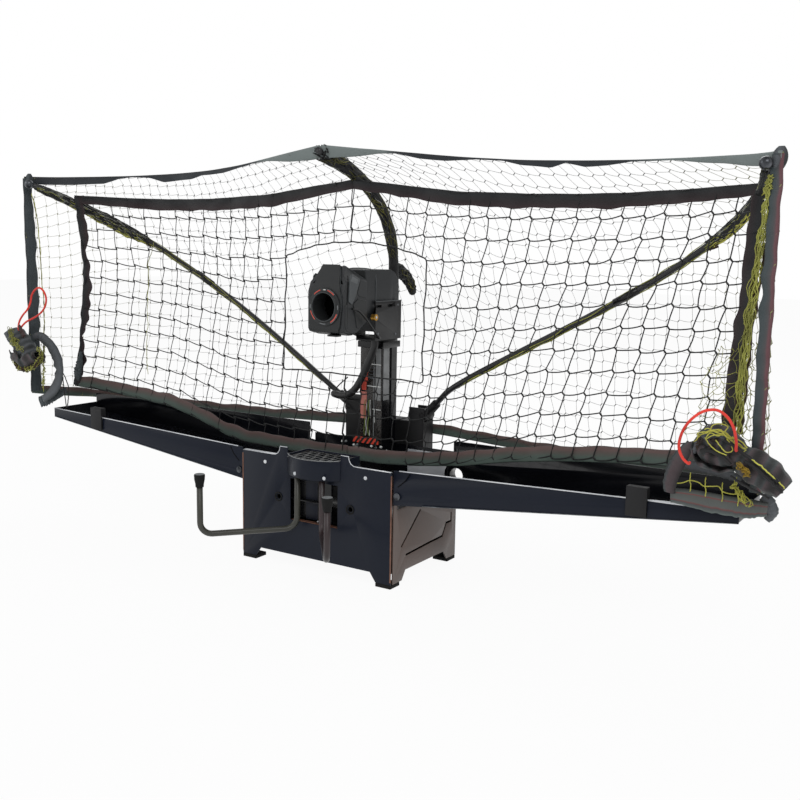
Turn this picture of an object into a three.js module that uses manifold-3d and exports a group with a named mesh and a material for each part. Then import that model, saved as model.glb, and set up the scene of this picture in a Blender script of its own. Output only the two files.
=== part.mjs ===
// Table tennis robot with ball-catch net, millimetres, +Z up.
// The throwing head looks along -Y, and the troughs and poles spread along X.
import * as THREE from 'three';
import { mergeVertices } from 'three/addons/utils/BufferGeometryUtils.js';
import Module from 'manifold-3d';

const wasm = await Module();
wasm.setup();

// General values
const fitGap = 0.3;
const overrun = 4;
const sheet = 2;
const ballRadius = 20;
const roundSides = 20;
const pinSides = 12;
const rodSides = 8;
const barrelSides = 24;
const outlineSteps = 8;
const elbowSteps = 10;
const bundleSteps = 4;

// Base box
const baseWidth = 340;
const baseDepth = 228;
const baseHeight = 210;
const footHeight = 7;
const footWidth = 32;
const footDepth = 30;
const archHeight = 24;
const archSlant = 12;
const shoulderRise = 17;
const shoulderRun = 18;
const windowWidth = 108;
const windowLow = 91;
const windowHigh = 170;
const portRadius = 5;
const portSpread = 82;
const portHeight = 131;
const sideTop = 140;
const wallBay = 5;
const trayTop = 130;
const slotWidth = 4;
const cornerStripWidth = 12;
const cornerStripTop = 200;

// Collar at the top of the front panel
const collarHalfWidth = 60;
const collarBulge = 28;
const collarRise = 6;
const collarHigh = baseHeight + collarRise;
const collarHeight = 36;
const collarLow = collarHigh - collarHeight;
const collarWall = 3;
const collarBack = 60;
const grilleThickness = 3;
const grilleInset = 3;
const grilleSlotWidth = 13;
const grillePitch = 18;
const grilleSlant = 23;
const grilleMargin = 5;

// Ball lift below the tray, ahead of the column
const columnOverlap = 45;
const columnFront = baseDepth - columnOverlap;
const potLead = 71;
const potRadius = 60;
const potDepth = 52;
const potWall = 3;
const potLow = trayTop - sheet - potDepth;
const potY = columnFront - potLead;
const liftWheelRadius = 54;
const liftWheelHeight = 22;
const liftHubRadius = 12;
const liftArms = 4;
const liftArmWidth = 9;
const liftShaftRadius = 4;
const liftMotorRadius = 20;
const motorSeat = 6;

// Column and rear housing
const columnWidth = 50;
const columnDepth = 50;
const columnWall = 2.5;
const columnLow = potLow + potWall - columnWall;
const columnTop = 414;
const coverThickness = 1.6;
const coverLow = 214;
const bearingHeight = 12;
const bearingFlange = 5;
const housingWidth = 186;
const housingDepth = 36;
const housingLow = 150;
const housingTop = 258;
const housingWall = 2.5;
const earRise = 28;
const earWidth = 34;
const earThickness = 3;

// Wings with their ball troughs
const hingeX = 180;
const hingeZ = 169;
const hingePinRadius = 4;
const hingeHeadRadius = 6.5;
const hingeLugWidth = 18;
const hingeLugHeight = 20;
const hingeLugDepth = 4;
const bushOuter = 17;
const bushInner = 14;
const ringOuter = 26;
const wingStart = 172;
const wingEnd = 750;
const wingFrontInset = 29;
const wingBackInset = 18;
const wingBackTaper = 62;
const wingBackStart = baseDepth - wingBackInset;
const wingBackEnd = wingBackStart - wingBackTaper;
const bushLength = wingBackInset + sheet;
const wingLowStart = 152;
const wingLowEnd = 208;
const wingFrontTopStart = 214;
const wingFrontTopEnd = 228;
const wingBackTopStart = 234;
const wingBackTopEnd = 248;
const clipX = 600;
const clipWidth = 33;
const clipDepth = 13;
const clipLow = 198;
const clipHigh = 244;

// Hook arms that hold the table edge
const armSpread = 28;
const armOffset = 12;
const armRadius = 5.5;
const armSteps = 30;
const armLow = 82;
const armTop = 196;
const armLength = 176;
const armSplay = 40;
const armBend = 22;
const capRadius = 9.5;
const capHeight = 23;
const capTop = 192;

// Poles
const poleRadius = 5.5;
const poleSteps = 22;
const poleStraight = 68;
const pivotX = 86;
const pivotZ = 271;
const knuckleRadius = 12;
const socketRadius = 9;
const socketLength = 34;
const axleRadius = 4;
const poleRoot = new THREE.Vector3(6, 0, 4);
const poleTipX = 762;
const poleTipY = -6;
const poleTipZ = 715;
const knobRadius = 9.5;
const knobSides = 12;
const knobRings = 8;
const centreTubeRadius = 8;
const centreTubeSetback = 28;
const centreTubeY = baseDepth + centreTubeSetback;
const centreTubeTop = 560;
const centreTipY = 8;
const centreTipZ = 760;
const tailReach = 58;
const tailDrop = 46;
const tailStartRadius = 11;
const tailEndRadius = 4;

// Nets
const netHalfSpan = 786;
const netBehind = 117;
const netReach = baseDepth + netBehind;
const netTop = 766;
const netThickness = 3;
const netSeam = 0.7;
const outerBarShare = 0.07;
const frontBarShare = 0.1;
const frontNetSpan = 722;
const frontNetTop = 692;
const openingHalfWidth = 163;
const bundleOverhang = 29;
const bundleReach = netHalfSpan + bundleOverhang;
const bundleThickness = 58;
const bundleBevel = 16;
const leftBundleWidth = 74;
const leftBundleLow = 326;
const leftBundleHigh = 402;
const rightBundleWidth = 138;
const rightBundleLow = 258;
const rightBundleHigh = 384;

// Cords and cables held by the object at both ends
const harnessRadius = 7;
const harnessSteps = 22;
const leadRadius = 2;
const leadSteps = 16;
const redCordRadius = 2;
const redCordSteps = 24;

// Throwing head
const panGap = 0.5;
const turntableHeight = 6;
const turntableRadius = 36;
const yokeHalfWidth = 43;
const yokePlate = 3;
const yokeLead = 52;
const yokeDepth = 88;
const yokeFront = columnFront - yokeLead;
const yokeBack = yokeFront + yokeDepth;
const yokeNose = 7;
const yokeNoseStart = 4;
const yokeNoseEnd = 30;
const yokeLeftCut = 60;
const yokeLeftCutHeight = 19;
const yokeRise = 74;
const yokeSlotLength = 18;
const yokeSlotHeight = 5;
const yokeSlotDrop = 7;
const tiltSetback = 13;
const tiltY = columnFront + tiltSetback;
const tiltZ = 487;
const tiltPinRadius = 4;
const tiltPinDepth = 5;
const elbowHalfWidth = 37;
const elbowBack = yokeBack;
const elbowTop = 553;
const elbowLow = 434;
const elbowShelf = 463;
const elbowThroatLead = 11;
const elbowThroat = columnFront - elbowThroatLead;
const elbowRound = 35;
const ductRadius = 21;
const headHalfWidth = 40;
const headLead = 149;
const headDepth = 73;
const headFront = columnFront - headLead;
const headBack = headFront + headDepth;
const elbowFront = headBack + fitGap;
const elbowWall = 3;
const headLow = 444;
const headTop = 561;
const headBackTop = 540;
const headShoulder = 534;
const headBrow = 545;
const headBrowHalf = 27;
const headCrownHalf = 21;
const headWall = 2.5;
const headRound = 12;
const headRoundSteps = 6;
const nozzleBore = 25;
const nozzleRing = 34;
const nozzleLip = 8;
const throwWheelRadius = 20;
const throwWheelWidth = 22;
const throwSqueeze = 1;
const throwWheelSetback = 32;
const throwWheelY = headFront + throwWheelSetback;
const throwMotorRadius = 13;
const throwMotorLength = 13;
const motorBossRadius = 5;
const throwShaftRadius = 3;
const tiltKnobRadius = 6;
const tiltKnobLength = 9;
const tiltKnobLead = 63;
const tiltKnobY = columnFront - tiltKnobLead;
const tiltKnobZ = 466;
const tiltStudRadius = 2.5;

// The whole part is centred between the hook arms and the back of the net.
const radians = Math.PI / 180;
const armForward = armOffset + armLength * Math.cos(armSplay * radians) + capRadius;
const frontY = (armForward - netReach - netThickness / 2) / 2;
const depthFrom = (distance) => frontY + distance;

const looks = {
  panel: { color: 0x22252e, roughness: 0.35, metalness: 0.1 },
  grey: { color: 0x5c5a5c, roughness: 0.6, metalness: 0.1 },
  plastic: { color: 0x1c1c1e, roughness: 0.55, metalness: 0 },
  shell: { color: 0x3a3a3c, roughness: 0.5, metalness: 0 },
  clear: { color: 0xd8dadc, roughness: 0.2, metalness: 0 },
  rubber: { color: 0x18181a, roughness: 0.9, metalness: 0 },
  steel: { color: 0xb8bbc0, roughness: 0.3, metalness: 0.9 },
  brass: { color: 0xb78b3c, roughness: 0.35, metalness: 0.9 },
  pole: { color: 0x26262a, roughness: 0.45, metalness: 0.1 },
  netBlack: { color: 0x141416, roughness: 0.9, metalness: 0 },
  netGrey: { color: 0x4a4a46, roughness: 0.9, metalness: 0 },
  fabric: { color: 0x6a6a64, roughness: 0.95, metalness: 0 },
  red: { color: 0xe0463c, roughness: 0.7, metalness: 0 },
  foam: { color: 0x8c3a2e, roughness: 0.9, metalness: 0 },
};

const robot = new THREE.Group();

function piece(name, geometry, look) {
  const mesh = new THREE.Mesh(geometry, new THREE.MeshStandardMaterial(looks[look]));
  mesh.name = name;
  robot.add(mesh);
  return mesh;
}

// Boolean work
function solid(geometry) {
  const bare = geometry.index ? geometry.toNonIndexed() : geometry.clone();
  bare.deleteAttribute('normal');
  bare.deleteAttribute('uv');
  const merged = mergeVertices(bare);
  return new wasm.Manifold(new wasm.Mesh({
    numProp: 3,
    vertProperties: new Float32Array(merged.attributes.position.array),
    triVerts: new Uint32Array(merged.index.array),
  }));
}

function geometryOf(body) {
  const mesh = body.getMesh();
  const geometry = new THREE.BufferGeometry();
  geometry.setAttribute('position', new THREE.BufferAttribute(mesh.vertProperties, 3));
  geometry.setIndex(new THREE.BufferAttribute(mesh.triVerts, 1));
  geometry.computeVertexNormals();
  return geometry;
}

// Basic shapes
function block(x0, x1, y0, y1, z0, z1) {
  const geometry = new THREE.BoxGeometry(x1 - x0, y1 - y0, z1 - z0);
  return geometry.translate((x0 + x1) / 2, (y0 + y1) / 2, (z0 + z1) / 2);
}

function rod(axis, radius, start, end, sides = roundSides) {
  const geometry = new THREE.CylinderGeometry(radius, radius, end - start, sides);
  geometry.translate(0, (start + end) / 2, 0);
  if (axis === 'z') geometry.rotateX(Math.PI / 2);
  if (axis === 'x') geometry.rotateZ(-Math.PI / 2);
  return geometry;
}

function outline(points) {
  return new THREE.Shape(points.map(([a, b]) => new THREE.Vector2(a, b)));
}

// A plate whose outline is drawn in X and Z, between two depths.
function uprightPlate(shape, y0, y1, curveSegments = 12) {
  const geometry = new THREE.ExtrudeGeometry(shape, { depth: y1 - y0, bevelEnabled: false, curveSegments });
  return geometry.rotateX(Math.PI / 2).translate(0, y1, 0);
}

// A plate whose outline is drawn in Y and Z, between two places on X.
function sidePlate(shape, x0, x1, curveSegments = 12) {
  const geometry = new THREE.ExtrudeGeometry(shape, { depth: x1 - x0, bevelEnabled: false, curveSegments });
  const turn = new THREE.Matrix4().makeBasis(
    new THREE.Vector3(0, 1, 0), new THREE.Vector3(0, 0, 1), new THREE.Vector3(1, 0, 0));
  return geometry.applyMatrix4(turn).translate(x0, 0, 0);
}

// A plate whose outline is drawn in X and Y, between two heights.
function flatPlate(shape, z0, z1, curveSegments = 12) {
  const geometry = new THREE.ExtrudeGeometry(shape, { depth: z1 - z0, bevelEnabled: false, curveSegments });
  return geometry.translate(0, 0, z0);
}

function tube(curve, radius, steps, sides = rodSides) {
  const section = new THREE.Shape();
  for (let side = 0; side < sides; side += 1) {
    const angle = (2 * Math.PI * side) / sides;
    const place = [radius * Math.cos(angle), radius * Math.sin(angle)];
    if (side === 0) section.moveTo(...place);
    else section.lineTo(...place);
  }
  section.closePath();
  return new THREE.ExtrudeGeometry(section, { extrudePath: curve, steps, bevelEnabled: false });
}

// A solid with eight corners, four below and four above, both anticlockwise from above.
function slab(low, high) {
  const corners = [...low, ...high];
  const faces = [
    [3, 2, 1, 0], [4, 5, 6, 7], [0, 1, 5, 4], [1, 2, 6, 5], [2, 3, 7, 6], [3, 0, 4, 7],
  ];
  const positions = [];
  for (const [a, b, c, d] of faces) {
    for (const corner of [a, b, c, a, c, d]) positions.push(...corners[corner]);
  }
  const geometry = new THREE.BufferGeometry();
  geometry.setAttribute('position', new THREE.Float32BufferAttribute(positions, 3));
  geometry.computeVertexNormals();
  return geometry;
}

function mirrored(geometry) {
  const copy = (geometry.index ? geometry.toNonIndexed() : geometry.clone()).scale(-1, 1, 1);
  const place = copy.attributes.position;
  for (let corner = 0; corner < place.count; corner += 3) {
    const spare = new THREE.Vector3().fromBufferAttribute(place, corner + 1);
    place.setXYZ(corner + 1, place.getX(corner + 2), place.getY(corner + 2), place.getZ(corner + 2));
    place.setXYZ(corner + 2, spare.x, spare.y, spare.z);
  }
  copy.computeVertexNormals();
  return copy;
}

// The right-hand piece and its mirror image on the left.
function pair(name, geometry, look) {
  piece(`right_${name}`, geometry, look);
  piece(`left_${name}`, mirrored(geometry), look);
}

const baseHalf = baseWidth / 2;

// Front panel with its legs, window, ports and the raised shoulders beside the collar
function frontPanel() {
  const legInner = baseHalf - footWidth;
  const shoulder = collarHalfWidth + fitGap;
  const high = baseHeight + shoulderRise;
  const shape = new THREE.Shape();
  shape.moveTo(-baseHalf, footHeight);
  shape.lineTo(-legInner, footHeight);
  shape.lineTo(archSlant - legInner, archHeight);
  shape.lineTo(legInner - archSlant, archHeight);
  shape.lineTo(legInner, footHeight);
  shape.lineTo(baseHalf, footHeight);
  shape.lineTo(baseHalf, baseHeight);
  shape.lineTo(shoulder + 2 * shoulderRun, baseHeight);
  shape.quadraticCurveTo(shoulder + shoulderRun, baseHeight, shoulder + shoulderRun, high);
  shape.lineTo(shoulder, high);
  shape.lineTo(shoulder, collarLow - fitGap);
  shape.lineTo(-shoulder, collarLow - fitGap);
  shape.lineTo(-shoulder, high);
  shape.lineTo(-shoulder - shoulderRun, high);
  shape.quadraticCurveTo(-shoulder - shoulderRun, baseHeight, -shoulder - 2 * shoulderRun, baseHeight);
  shape.lineTo(-baseHalf, baseHeight);
  shape.closePath();
  const halfWindow = windowWidth / 2;
  const opening = new THREE.Path();
  opening.moveTo(-halfWindow, windowLow);
  opening.lineTo(-halfWindow, windowHigh);
  opening.lineTo(halfWindow, windowHigh);
  opening.lineTo(halfWindow, windowLow);
  opening.closePath();
  shape.holes.push(opening);
  for (const side of [-1, 1]) {
    const port = new THREE.Path();
    port.absarc(side * portSpread, portHeight, portRadius, 0, 2 * Math.PI, true);
    shape.holes.push(port);
  }
  piece('front_panel', uprightPlate(shape, depthFrom(0), depthFrom(sheet), outlineSteps), 'panel');
}

// Back panel with a round lug and a hollow bush for each wing's rear pivot
function backPanel() {
  const back = depthFrom(baseDepth);
  const legInner = baseHalf - footWidth;
  const shape = outline([
    [-baseHalf, footHeight], [-legInner, footHeight], [archSlant - legInner, archHeight],
    [legInner - archSlant, archHeight], [legInner, footHeight], [baseHalf, footHeight],
    [baseHalf, baseHeight], [-baseHalf, baseHeight],
  ]);
  let body = solid(uprightPlate(shape, back - sheet, back));
  for (const side of [-1, 1]) {
    const place = [side * hingeX, 0, hingeZ];
    const lug = rod('y', ringOuter, back - sheet, back).translate(...place);
    const bush = rod('y', bushOuter, back - bushLength, back).translate(...place);
    const hole = rod('y', bushInner, back - bushLength - overrun, back + overrun).translate(...place);
    body = body.add(solid(lug)).add(solid(bush)).subtract(solid(hole));
  }
  const notchHalf = columnWidth / 2 + fitGap;
  const notch = block(-notchHalf, notchHalf, back - sheet - overrun, back + overrun,
    columnLow - fitGap, baseHeight + overrun);
  body = body.subtract(solid(notch));
  piece('back_panel', geometryOf(body), 'panel');
}

// Side panels with two slots, a front corner strip and the lug for the front hinge pin
const sideSlotShares = [
  [[0.42, 0.86], [0.155, 0.4]],
  [[0.92, 0.6], [0.92, 0.47], [0.84, 0.47], [0.78, 0.275], [0.58, 0.265], [0.225, 0.235]],
];

function sidePanel() {
  const front = depthFrom(sheet + wallBay);
  const back = depthFrom(baseDepth - sheet - fitGap);
  const strip = front + cornerStripWidth;
  const shape = outline([
    [front, footHeight], [front + footDepth, footHeight], [front + footDepth + archSlant, archHeight],
    [back - footDepth - archSlant, archHeight], [back - footDepth, footHeight], [back, footHeight],
    [back, sideTop], [strip, sideTop], [strip, cornerStripTop], [front, cornerStripTop],
  ]);
  let body = solid(sidePlate(shape, baseHalf - sheet, baseHalf));
  for (const route of sideSlotShares) {
    const points = route.map(([y, z]) => [
      depthFrom(y * baseDepth), archHeight + z * (sideTop - archHeight)]);
    for (let leg = 1; leg < points.length; leg += 1) {
      const [start, end] = [points[leg - 1], points[leg]];
      const angle = Math.atan2(end[1] - start[1], end[0] - start[0]);
      const length = Math.hypot(end[0] - start[0], end[1] - start[1]) + slotWidth;
      const cut = new THREE.BoxGeometry(sheet + 2 * overrun, length, slotWidth);
      cut.rotateX(angle);
      cut.translate(baseHalf, (start[0] + end[0]) / 2, (start[1] + end[1]) / 2);
      body = body.subtract(solid(cut));
    }
  }
  const lugBack = front + sheet + hingeLugDepth;
  const lug = block(baseHalf - sheet, hingeX + hingePinRadius + sheet, lugBack - hingeLugDepth, lugBack,
    hingeZ - hingeLugHeight / 2, hingeZ + hingeLugHeight / 2);
  const hole = rod('y', hingePinRadius + fitGap, front - overrun, lugBack + overrun, pinSides);
  body = body.add(solid(lug)).subtract(solid(hole.translate(hingeX, 0, hingeZ)));
  pair('side_panel', geometryOf(body), 'panel');
  const pin = solid(rod('y', hingePinRadius, depthFrom(sheet), lugBack + sheet, pinSides));
  const head = solid(rod('y', hingeHeadRadius, depthFrom(0), depthFrom(sheet), pinSides));
  pair('hinge_pin', geometryOf(pin.add(head)).translate(hingeX, 0, hingeZ), 'steel');
}

// Rubber feet under the four corners
function feet() {
  const outer = baseHalf;
  const inner = baseHalf - footWidth;
  for (const [end, y0] of [['front', 0], ['rear', baseDepth - footDepth]]) {
    const foot = block(inner, outer, depthFrom(y0), depthFrom(y0 + footDepth), 0, footHeight - fitGap);
    pair(`${end}_foot`, foot, 'rubber');
  }
}

// Chassis plate that carries the lift motor
const chassisTop = archHeight + 2 * sheet;

function chassis() {
  const plate = block(-baseHalf + sheet + fitGap, baseHalf - sheet - fitGap,
    depthFrom(sheet + wallBay), depthFrom(baseDepth - sheet - fitGap), archHeight + sheet, chassisTop);
  piece('chassis_plate', plate, 'panel');
}

// Tray between the panels, the lift pot under it, and the lift wheel
function tray() {
  const plate = solid(block(-baseHalf + sheet + fitGap, baseHalf - sheet - fitGap,
    depthFrom(sheet + wallBay), depthFrom(baseDepth - sheet - fitGap), trayTop - sheet, trayTop));
  const mouth = rod('z', potRadius - potWall, trayTop - sheet - overrun, trayTop + overrun);
  const slotHalf = columnWidth / 2 + fitGap;
  const columnSlot = block(-slotHalf, slotHalf, depthFrom(columnFront - fitGap),
    depthFrom(columnFront + columnDepth + fitGap), trayTop - sheet - overrun, trayTop + overrun);
  const cut = solid(mouth.translate(0, depthFrom(potY), 0)).add(solid(columnSlot));
  piece('ball_tray', geometryOf(plate.subtract(cut)), 'grey');
}

function pot() {
  const top = trayTop - sheet - fitGap;
  const outer = solid(rod('z', potRadius, potLow, top));
  const inner = solid(rod('z', potRadius - potWall, potLow + potWall, top + overrun));
  const shaftHole = solid(rod('z', liftShaftRadius + fitGap, potLow - overrun, potLow + overrun, pinSides));
  const wayHalf = columnWidth / 2 - columnWall;
  const way = solid(block(-wayHalf, wayHalf, 0, potRadius + overrun, potLow + potWall, top + overrun));
  const body = outer.subtract(inner).subtract(shaftHole).subtract(way);
  const atPot = geometryOf(body).translate(0, depthFrom(potY), 0);
  const chute = solid(block(-wayHalf - potWall, wayHalf + potWall, depthFrom(potY),
    depthFrom(columnFront - fitGap), potLow, top));
  const chuteWay = solid(block(-wayHalf, wayHalf, depthFrom(potY) - overrun,
    depthFrom(columnFront + overrun), potLow + potWall, top + overrun));
  const bowl = solid(rod('z', potRadius - potWall, potLow - overrun, top + overrun)
    .translate(0, depthFrom(potY), 0));
  piece('lift_pot', geometryOf(solid(atPot).add(chute.subtract(chuteWay).subtract(bowl))), 'plastic');
}

function liftWheel() {
  const low = potLow + potWall + fitGap;
  const high = low + liftWheelHeight;
  let body = solid(rod('z', liftHubRadius, low, high));
  for (let arm = 0; arm < liftArms; arm += 1) {
    const spoke = block(0, liftWheelRadius, -liftArmWidth / 2, liftArmWidth / 2, low, high);
    body = body.add(solid(spoke.rotateZ((arm * 2 * Math.PI) / liftArms + Math.PI / 4)));
  }
  body = body.subtract(solid(rod('z', liftShaftRadius + fitGap, low - overrun, high - sheet, pinSides)));
  piece('lift_wheel', geometryOf(body).translate(0, depthFrom(potY), 0), 'rubber');
}

function liftMotor() {
  const can = solid(rod('z', liftMotorRadius, chassisTop + fitGap, potLow - fitGap));
  const shaftTop = potLow + potWall + liftWheelHeight / 2;
  const shaft = solid(rod('z', liftShaftRadius, potLow - motorSeat, shaftTop, pinSides));
  piece('lift_motor', geometryOf(can.add(shaft)).translate(0, depthFrom(potY), 0), 'steel');
}

// Collar cup with its bulged front wall, and the grille that covers it
function collarShape(inset) {
  const half = collarHalfWidth - inset;
  const bulge = collarBulge - inset;
  const radius = (half * half + bulge * bulge) / (2 * bulge);
  const spread = Math.asin(half / radius);
  const shape = new THREE.Shape();
  shape.absarc(0, depthFrom(radius - bulge), radius, -Math.PI / 2 - spread, -Math.PI / 2 + spread, false);
  shape.lineTo(half, depthFrom(collarBack - inset));
  shape.lineTo(-half, depthFrom(collarBack - inset));
  shape.closePath();
  return shape;
}

function collar() {
  const outer = solid(flatPlate(collarShape(0), collarLow, collarHigh));
  const inner = solid(flatPlate(collarShape(collarWall), collarLow + collarWall, collarHigh + overrun));
  let cup = outer.subtract(inner);
  for (const side of [-1, 1]) {
    const hole = rod('z', armRadius + fitGap, collarLow - overrun, collarLow + collarWall + overrun, pinSides);
    cup = cup.subtract(solid(hole.translate(side * armSpread, depthFrom(-armOffset), 0)));
  }
  piece('collar_cup', geometryOf(cup), 'panel');

  const top = collarHigh - grilleInset;
  const plate = solid(flatPlate(collarShape(collarWall + fitGap), top - grilleThickness, top));
  const mask = solid(flatPlate(collarShape(collarWall + grilleMargin), top - 2 * grilleThickness, top + overrun));
  const count = Math.ceil(collarHalfWidth / grillePitch) + 1;
  let bars = null;
  for (let bar = -count; bar <= count; bar += 1) {
    const cut = new THREE.BoxGeometry(grilleSlotWidth, 4 * collarHalfWidth, 4 * grilleThickness);
    cut.rotateZ(grilleSlant * radians);
    const middle = (collarBack - collarBulge) / 2;
    cut.translate((bar * grillePitch) / Math.cos(grilleSlant * radians), depthFrom(middle), top);
    bars = bars ? bars.add(solid(cut)) : solid(cut);
  }
  piece('collar_grille', geometryOf(plate.subtract(bars.intersect(mask))), 'plastic');
}

// Ball column, its front cover and the bearing ring on top
const columnMiddle = columnFront + columnDepth / 2;

function column() {
  const half = columnWidth / 2;
  const inner = half - columnWall;
  const outer = block(-half, half, depthFrom(columnFront), depthFrom(columnFront + columnDepth),
    columnLow, columnTop);
  const hollow = block(-inner, inner, depthFrom(columnFront + columnWall),
    depthFrom(columnFront + columnDepth - columnWall), columnLow + columnWall, columnTop + overrun);
  const way = block(-inner, inner, depthFrom(columnFront - overrun), depthFrom(columnMiddle),
    columnLow + columnWall, columnLow + columnWall + 2 * ballRadius + overrun);
  piece('column_channel', geometryOf(solid(outer).subtract(solid(hollow)).subtract(solid(way))), 'plastic');

  const face = depthFrom(columnFront - fitGap);
  const cover = block(-half, half, face - coverThickness, face, coverLow, columnTop - bearingHeight - fitGap);
  piece('column_cover', cover, 'panel');

  const ringHalf = half + bearingFlange;
  const ringOuterBlock = block(-ringHalf, ringHalf, depthFrom(columnFront - bearingFlange),
    depthFrom(columnFront + columnDepth + bearingFlange), columnTop - bearingHeight, columnTop);
  const ringInner = block(-half - fitGap, half + fitGap, depthFrom(columnFront - fitGap),
    depthFrom(columnFront + columnDepth + fitGap), columnTop - bearingHeight - overrun, columnTop + overrun);
  piece('column_collar', geometryOf(solid(ringOuterBlock).subtract(solid(ringInner))), 'clear');
}

// Rear housing with a pair of ears at each end for the side poles
const housingFront = baseDepth + fitGap;
const housingBack = housingFront + housingDepth;
const poleY = (housingFront + housingBack) / 2;

function rearHousing() {
  const half = housingWidth / 2;
  const front = depthFrom(housingFront);
  const back = depthFrom(housingBack);
  let body = solid(block(-half, half, front, back, housingLow, housingTop));
  const hollow = block(-half + housingWall, half - housingWall, front + housingWall, back - housingWall,
    housingLow - overrun, housingTop - housingWall);
  body = body.subtract(solid(hollow));
  const columnHalf = columnWidth / 2 + fitGap;
  const notch = block(-columnHalf, columnHalf, front - overrun,
    depthFrom(columnFront + columnDepth + fitGap), housingLow - overrun, housingTop + overrun);
  body = body.subtract(solid(notch));
  for (const side of [-1, 1]) {
    const middle = side * (half - earWidth / 2);
    for (const [y0, y1] of [[front, front + earThickness], [back - earThickness, back]]) {
      const ear = block(middle - earWidth / 2, middle + earWidth / 2, y0, y1,
        housingTop - overrun, housingTop + earRise);
      body = body.add(solid(ear));
    }
    const hole = rod('y', axleRadius + fitGap, front - overrun, back + overrun, pinSides);
    body = body.subtract(solid(hole.translate(side * pivotX, 0, pivotZ + fitGap)));
  }
  const socket = rod('z', centreTubeRadius + fitGap, housingTop - housingWall - overrun, housingTop + overrun, pinSides);
  body = body.subtract(solid(socket.translate(0, depthFrom(centreTubeY), 0)));
  piece('rear_housing', geometryOf(body), 'shell');
}

// Wings: the front wall stands flush with the front panel and the floor slopes to the tray.
function wingPlace(share, low, high) {
  return low + share * (high - low);
}

function wallSolid(frontStart, frontEnd, thickness, lowStart, lowEnd, topStart, topEnd, grow = 0) {
  const [x0, x1] = [wingStart, wingEnd];
  const low = [
    [x0, frontStart - grow, lowStart], [x1, frontEnd - grow, lowEnd],
    [x1, frontEnd + thickness + grow, lowEnd], [x0, frontStart + thickness + grow, lowStart],
  ];
  const high = [
    [x0, frontStart - grow, topStart], [x1, frontEnd - grow, topEnd],
    [x1, frontEnd + thickness + grow, topEnd], [x0, frontStart + thickness + grow, topStart],
  ];
  return slab(low, high);
}

const wingFrontY = depthFrom(sheet + fitGap);
const wingFrontEndY = depthFrom(wingFrontInset);
const wingBackY = depthFrom(wingBackStart);
const wingBackEndY = depthFrom(wingBackEnd);

function wings() {
  const pinHole = rod('y', hingePinRadius + fitGap, wingFrontY - overrun, wingFrontY + overrun, pinSides);
  const frontWall = solid(wallSolid(wingFrontY, wingFrontEndY, sheet,
    wingLowStart, wingLowEnd, wingFrontTopStart, wingFrontTopEnd));
  pair('wing_front_wall', geometryOf(frontWall.subtract(solid(pinHole.translate(hingeX, 0, hingeZ)))), 'panel');

  const backWall = solid(wallSolid(wingBackY, wingBackEndY, sheet,
    wingLowStart, wingLowEnd, wingBackTopStart, wingBackTopEnd));
  const ring = rod('y', ringOuter, wingBackY - sheet, wingBackY + sheet).translate(hingeX, 0, hingeZ);
  const eye = rod('y', bushOuter + fitGap, wingBackY - 3 * sheet, wingBackY + 3 * sheet);
  const wall = backWall.add(solid(ring)).subtract(solid(eye.translate(hingeX, 0, hingeZ)));
  pair('wing_back_wall', geometryOf(wall), 'panel');

  const frontGap = sheet + fitGap;
  const floorStart = wingLowStart + sheet;
  const floorEnd = wingLowEnd + sheet;
  const plan = [
    [wingStart, wingFrontY + frontGap, floorStart], [wingEnd, wingFrontEndY + frontGap, floorEnd],
    [wingEnd, wingBackEndY - fitGap, floorEnd], [wingStart, wingBackY - fitGap - sheet, floorStart],
  ];
  const raised = plan.map(([x, y, z]) => [x, y, z + sheet]);
  const lipTop = wingFrontTopEnd;
  const lip = block(wingEnd - sheet, wingEnd, wingFrontEndY + frontGap, wingBackEndY - fitGap, floorEnd, lipTop);
  pair('wing_floor', geometryOf(solid(slab(plan, raised)).add(solid(lip))), 'panel');

  const share = (clipX - wingStart) / (wingEnd - wingStart);
  const wallY = wingPlace(share, wingFrontY, wingFrontEndY) + sheet / 2;
  const clipSolid = solid(block(clipX - clipWidth / 2, clipX + clipWidth / 2,
    wallY - clipDepth / 2, wallY + clipDepth / 2, clipLow, clipHigh));
  const wallRoom = solid(wallSolid(wingFrontY, wingFrontEndY, sheet,
    wingLowStart - overrun, wingLowEnd - overrun, wingFrontTopStart + fitGap, wingFrontTopEnd + fitGap, fitGap));
  const floorRoom = solid(slab(plan.map(([x, y, z]) => [x, y - frontGap, z - overrun]),
    raised.map(([x, y, z]) => [x, y - frontGap, z + fitGap])));
  pair('wing_clip', geometryOf(clipSolid.subtract(wallRoom).subtract(floorRoom)), 'plastic');
}

// Hook arms and their rubber caps, built straight ahead and then splayed about the rear leg
function hookArms() {
  const path = new THREE.CurvePath();
  const at = (y, z) => new THREE.Vector3(0, y, z);
  const legTop = capTop - capHeight;
  path.add(new THREE.LineCurve3(at(0, armTop), at(0, armLow + armBend)));
  path.add(new THREE.QuadraticBezierCurve3(at(0, armLow + armBend), at(0, armLow), at(-armBend, armLow)));
  path.add(new THREE.LineCurve3(at(-armBend, armLow), at(armBend - armLength, armLow)));
  path.add(new THREE.QuadraticBezierCurve3(
    at(armBend - armLength, armLow), at(-armLength, armLow), at(-armLength, armLow + armBend)));
  path.add(new THREE.LineCurve3(at(-armLength, armLow + armBend), at(-armLength, legTop + sheet)));
  const splay = armSplay * radians;
  const place = (geometry) => geometry.rotateZ(splay).translate(armSpread, depthFrom(-armOffset), 0);
  pair('hook_arm', place(tube(path, armRadius, armSteps)), 'pole');

  const cap = solid(rod('z', capRadius, legTop, capTop));
  const bore = solid(rod('z', armRadius + fitGap, legTop - overrun, legTop + sheet + fitGap, pinSides));
  pair('arm_cap', place(geometryOf(cap.subtract(bore)).translate(0, -armLength, 0)), 'rubber');
}

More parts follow.
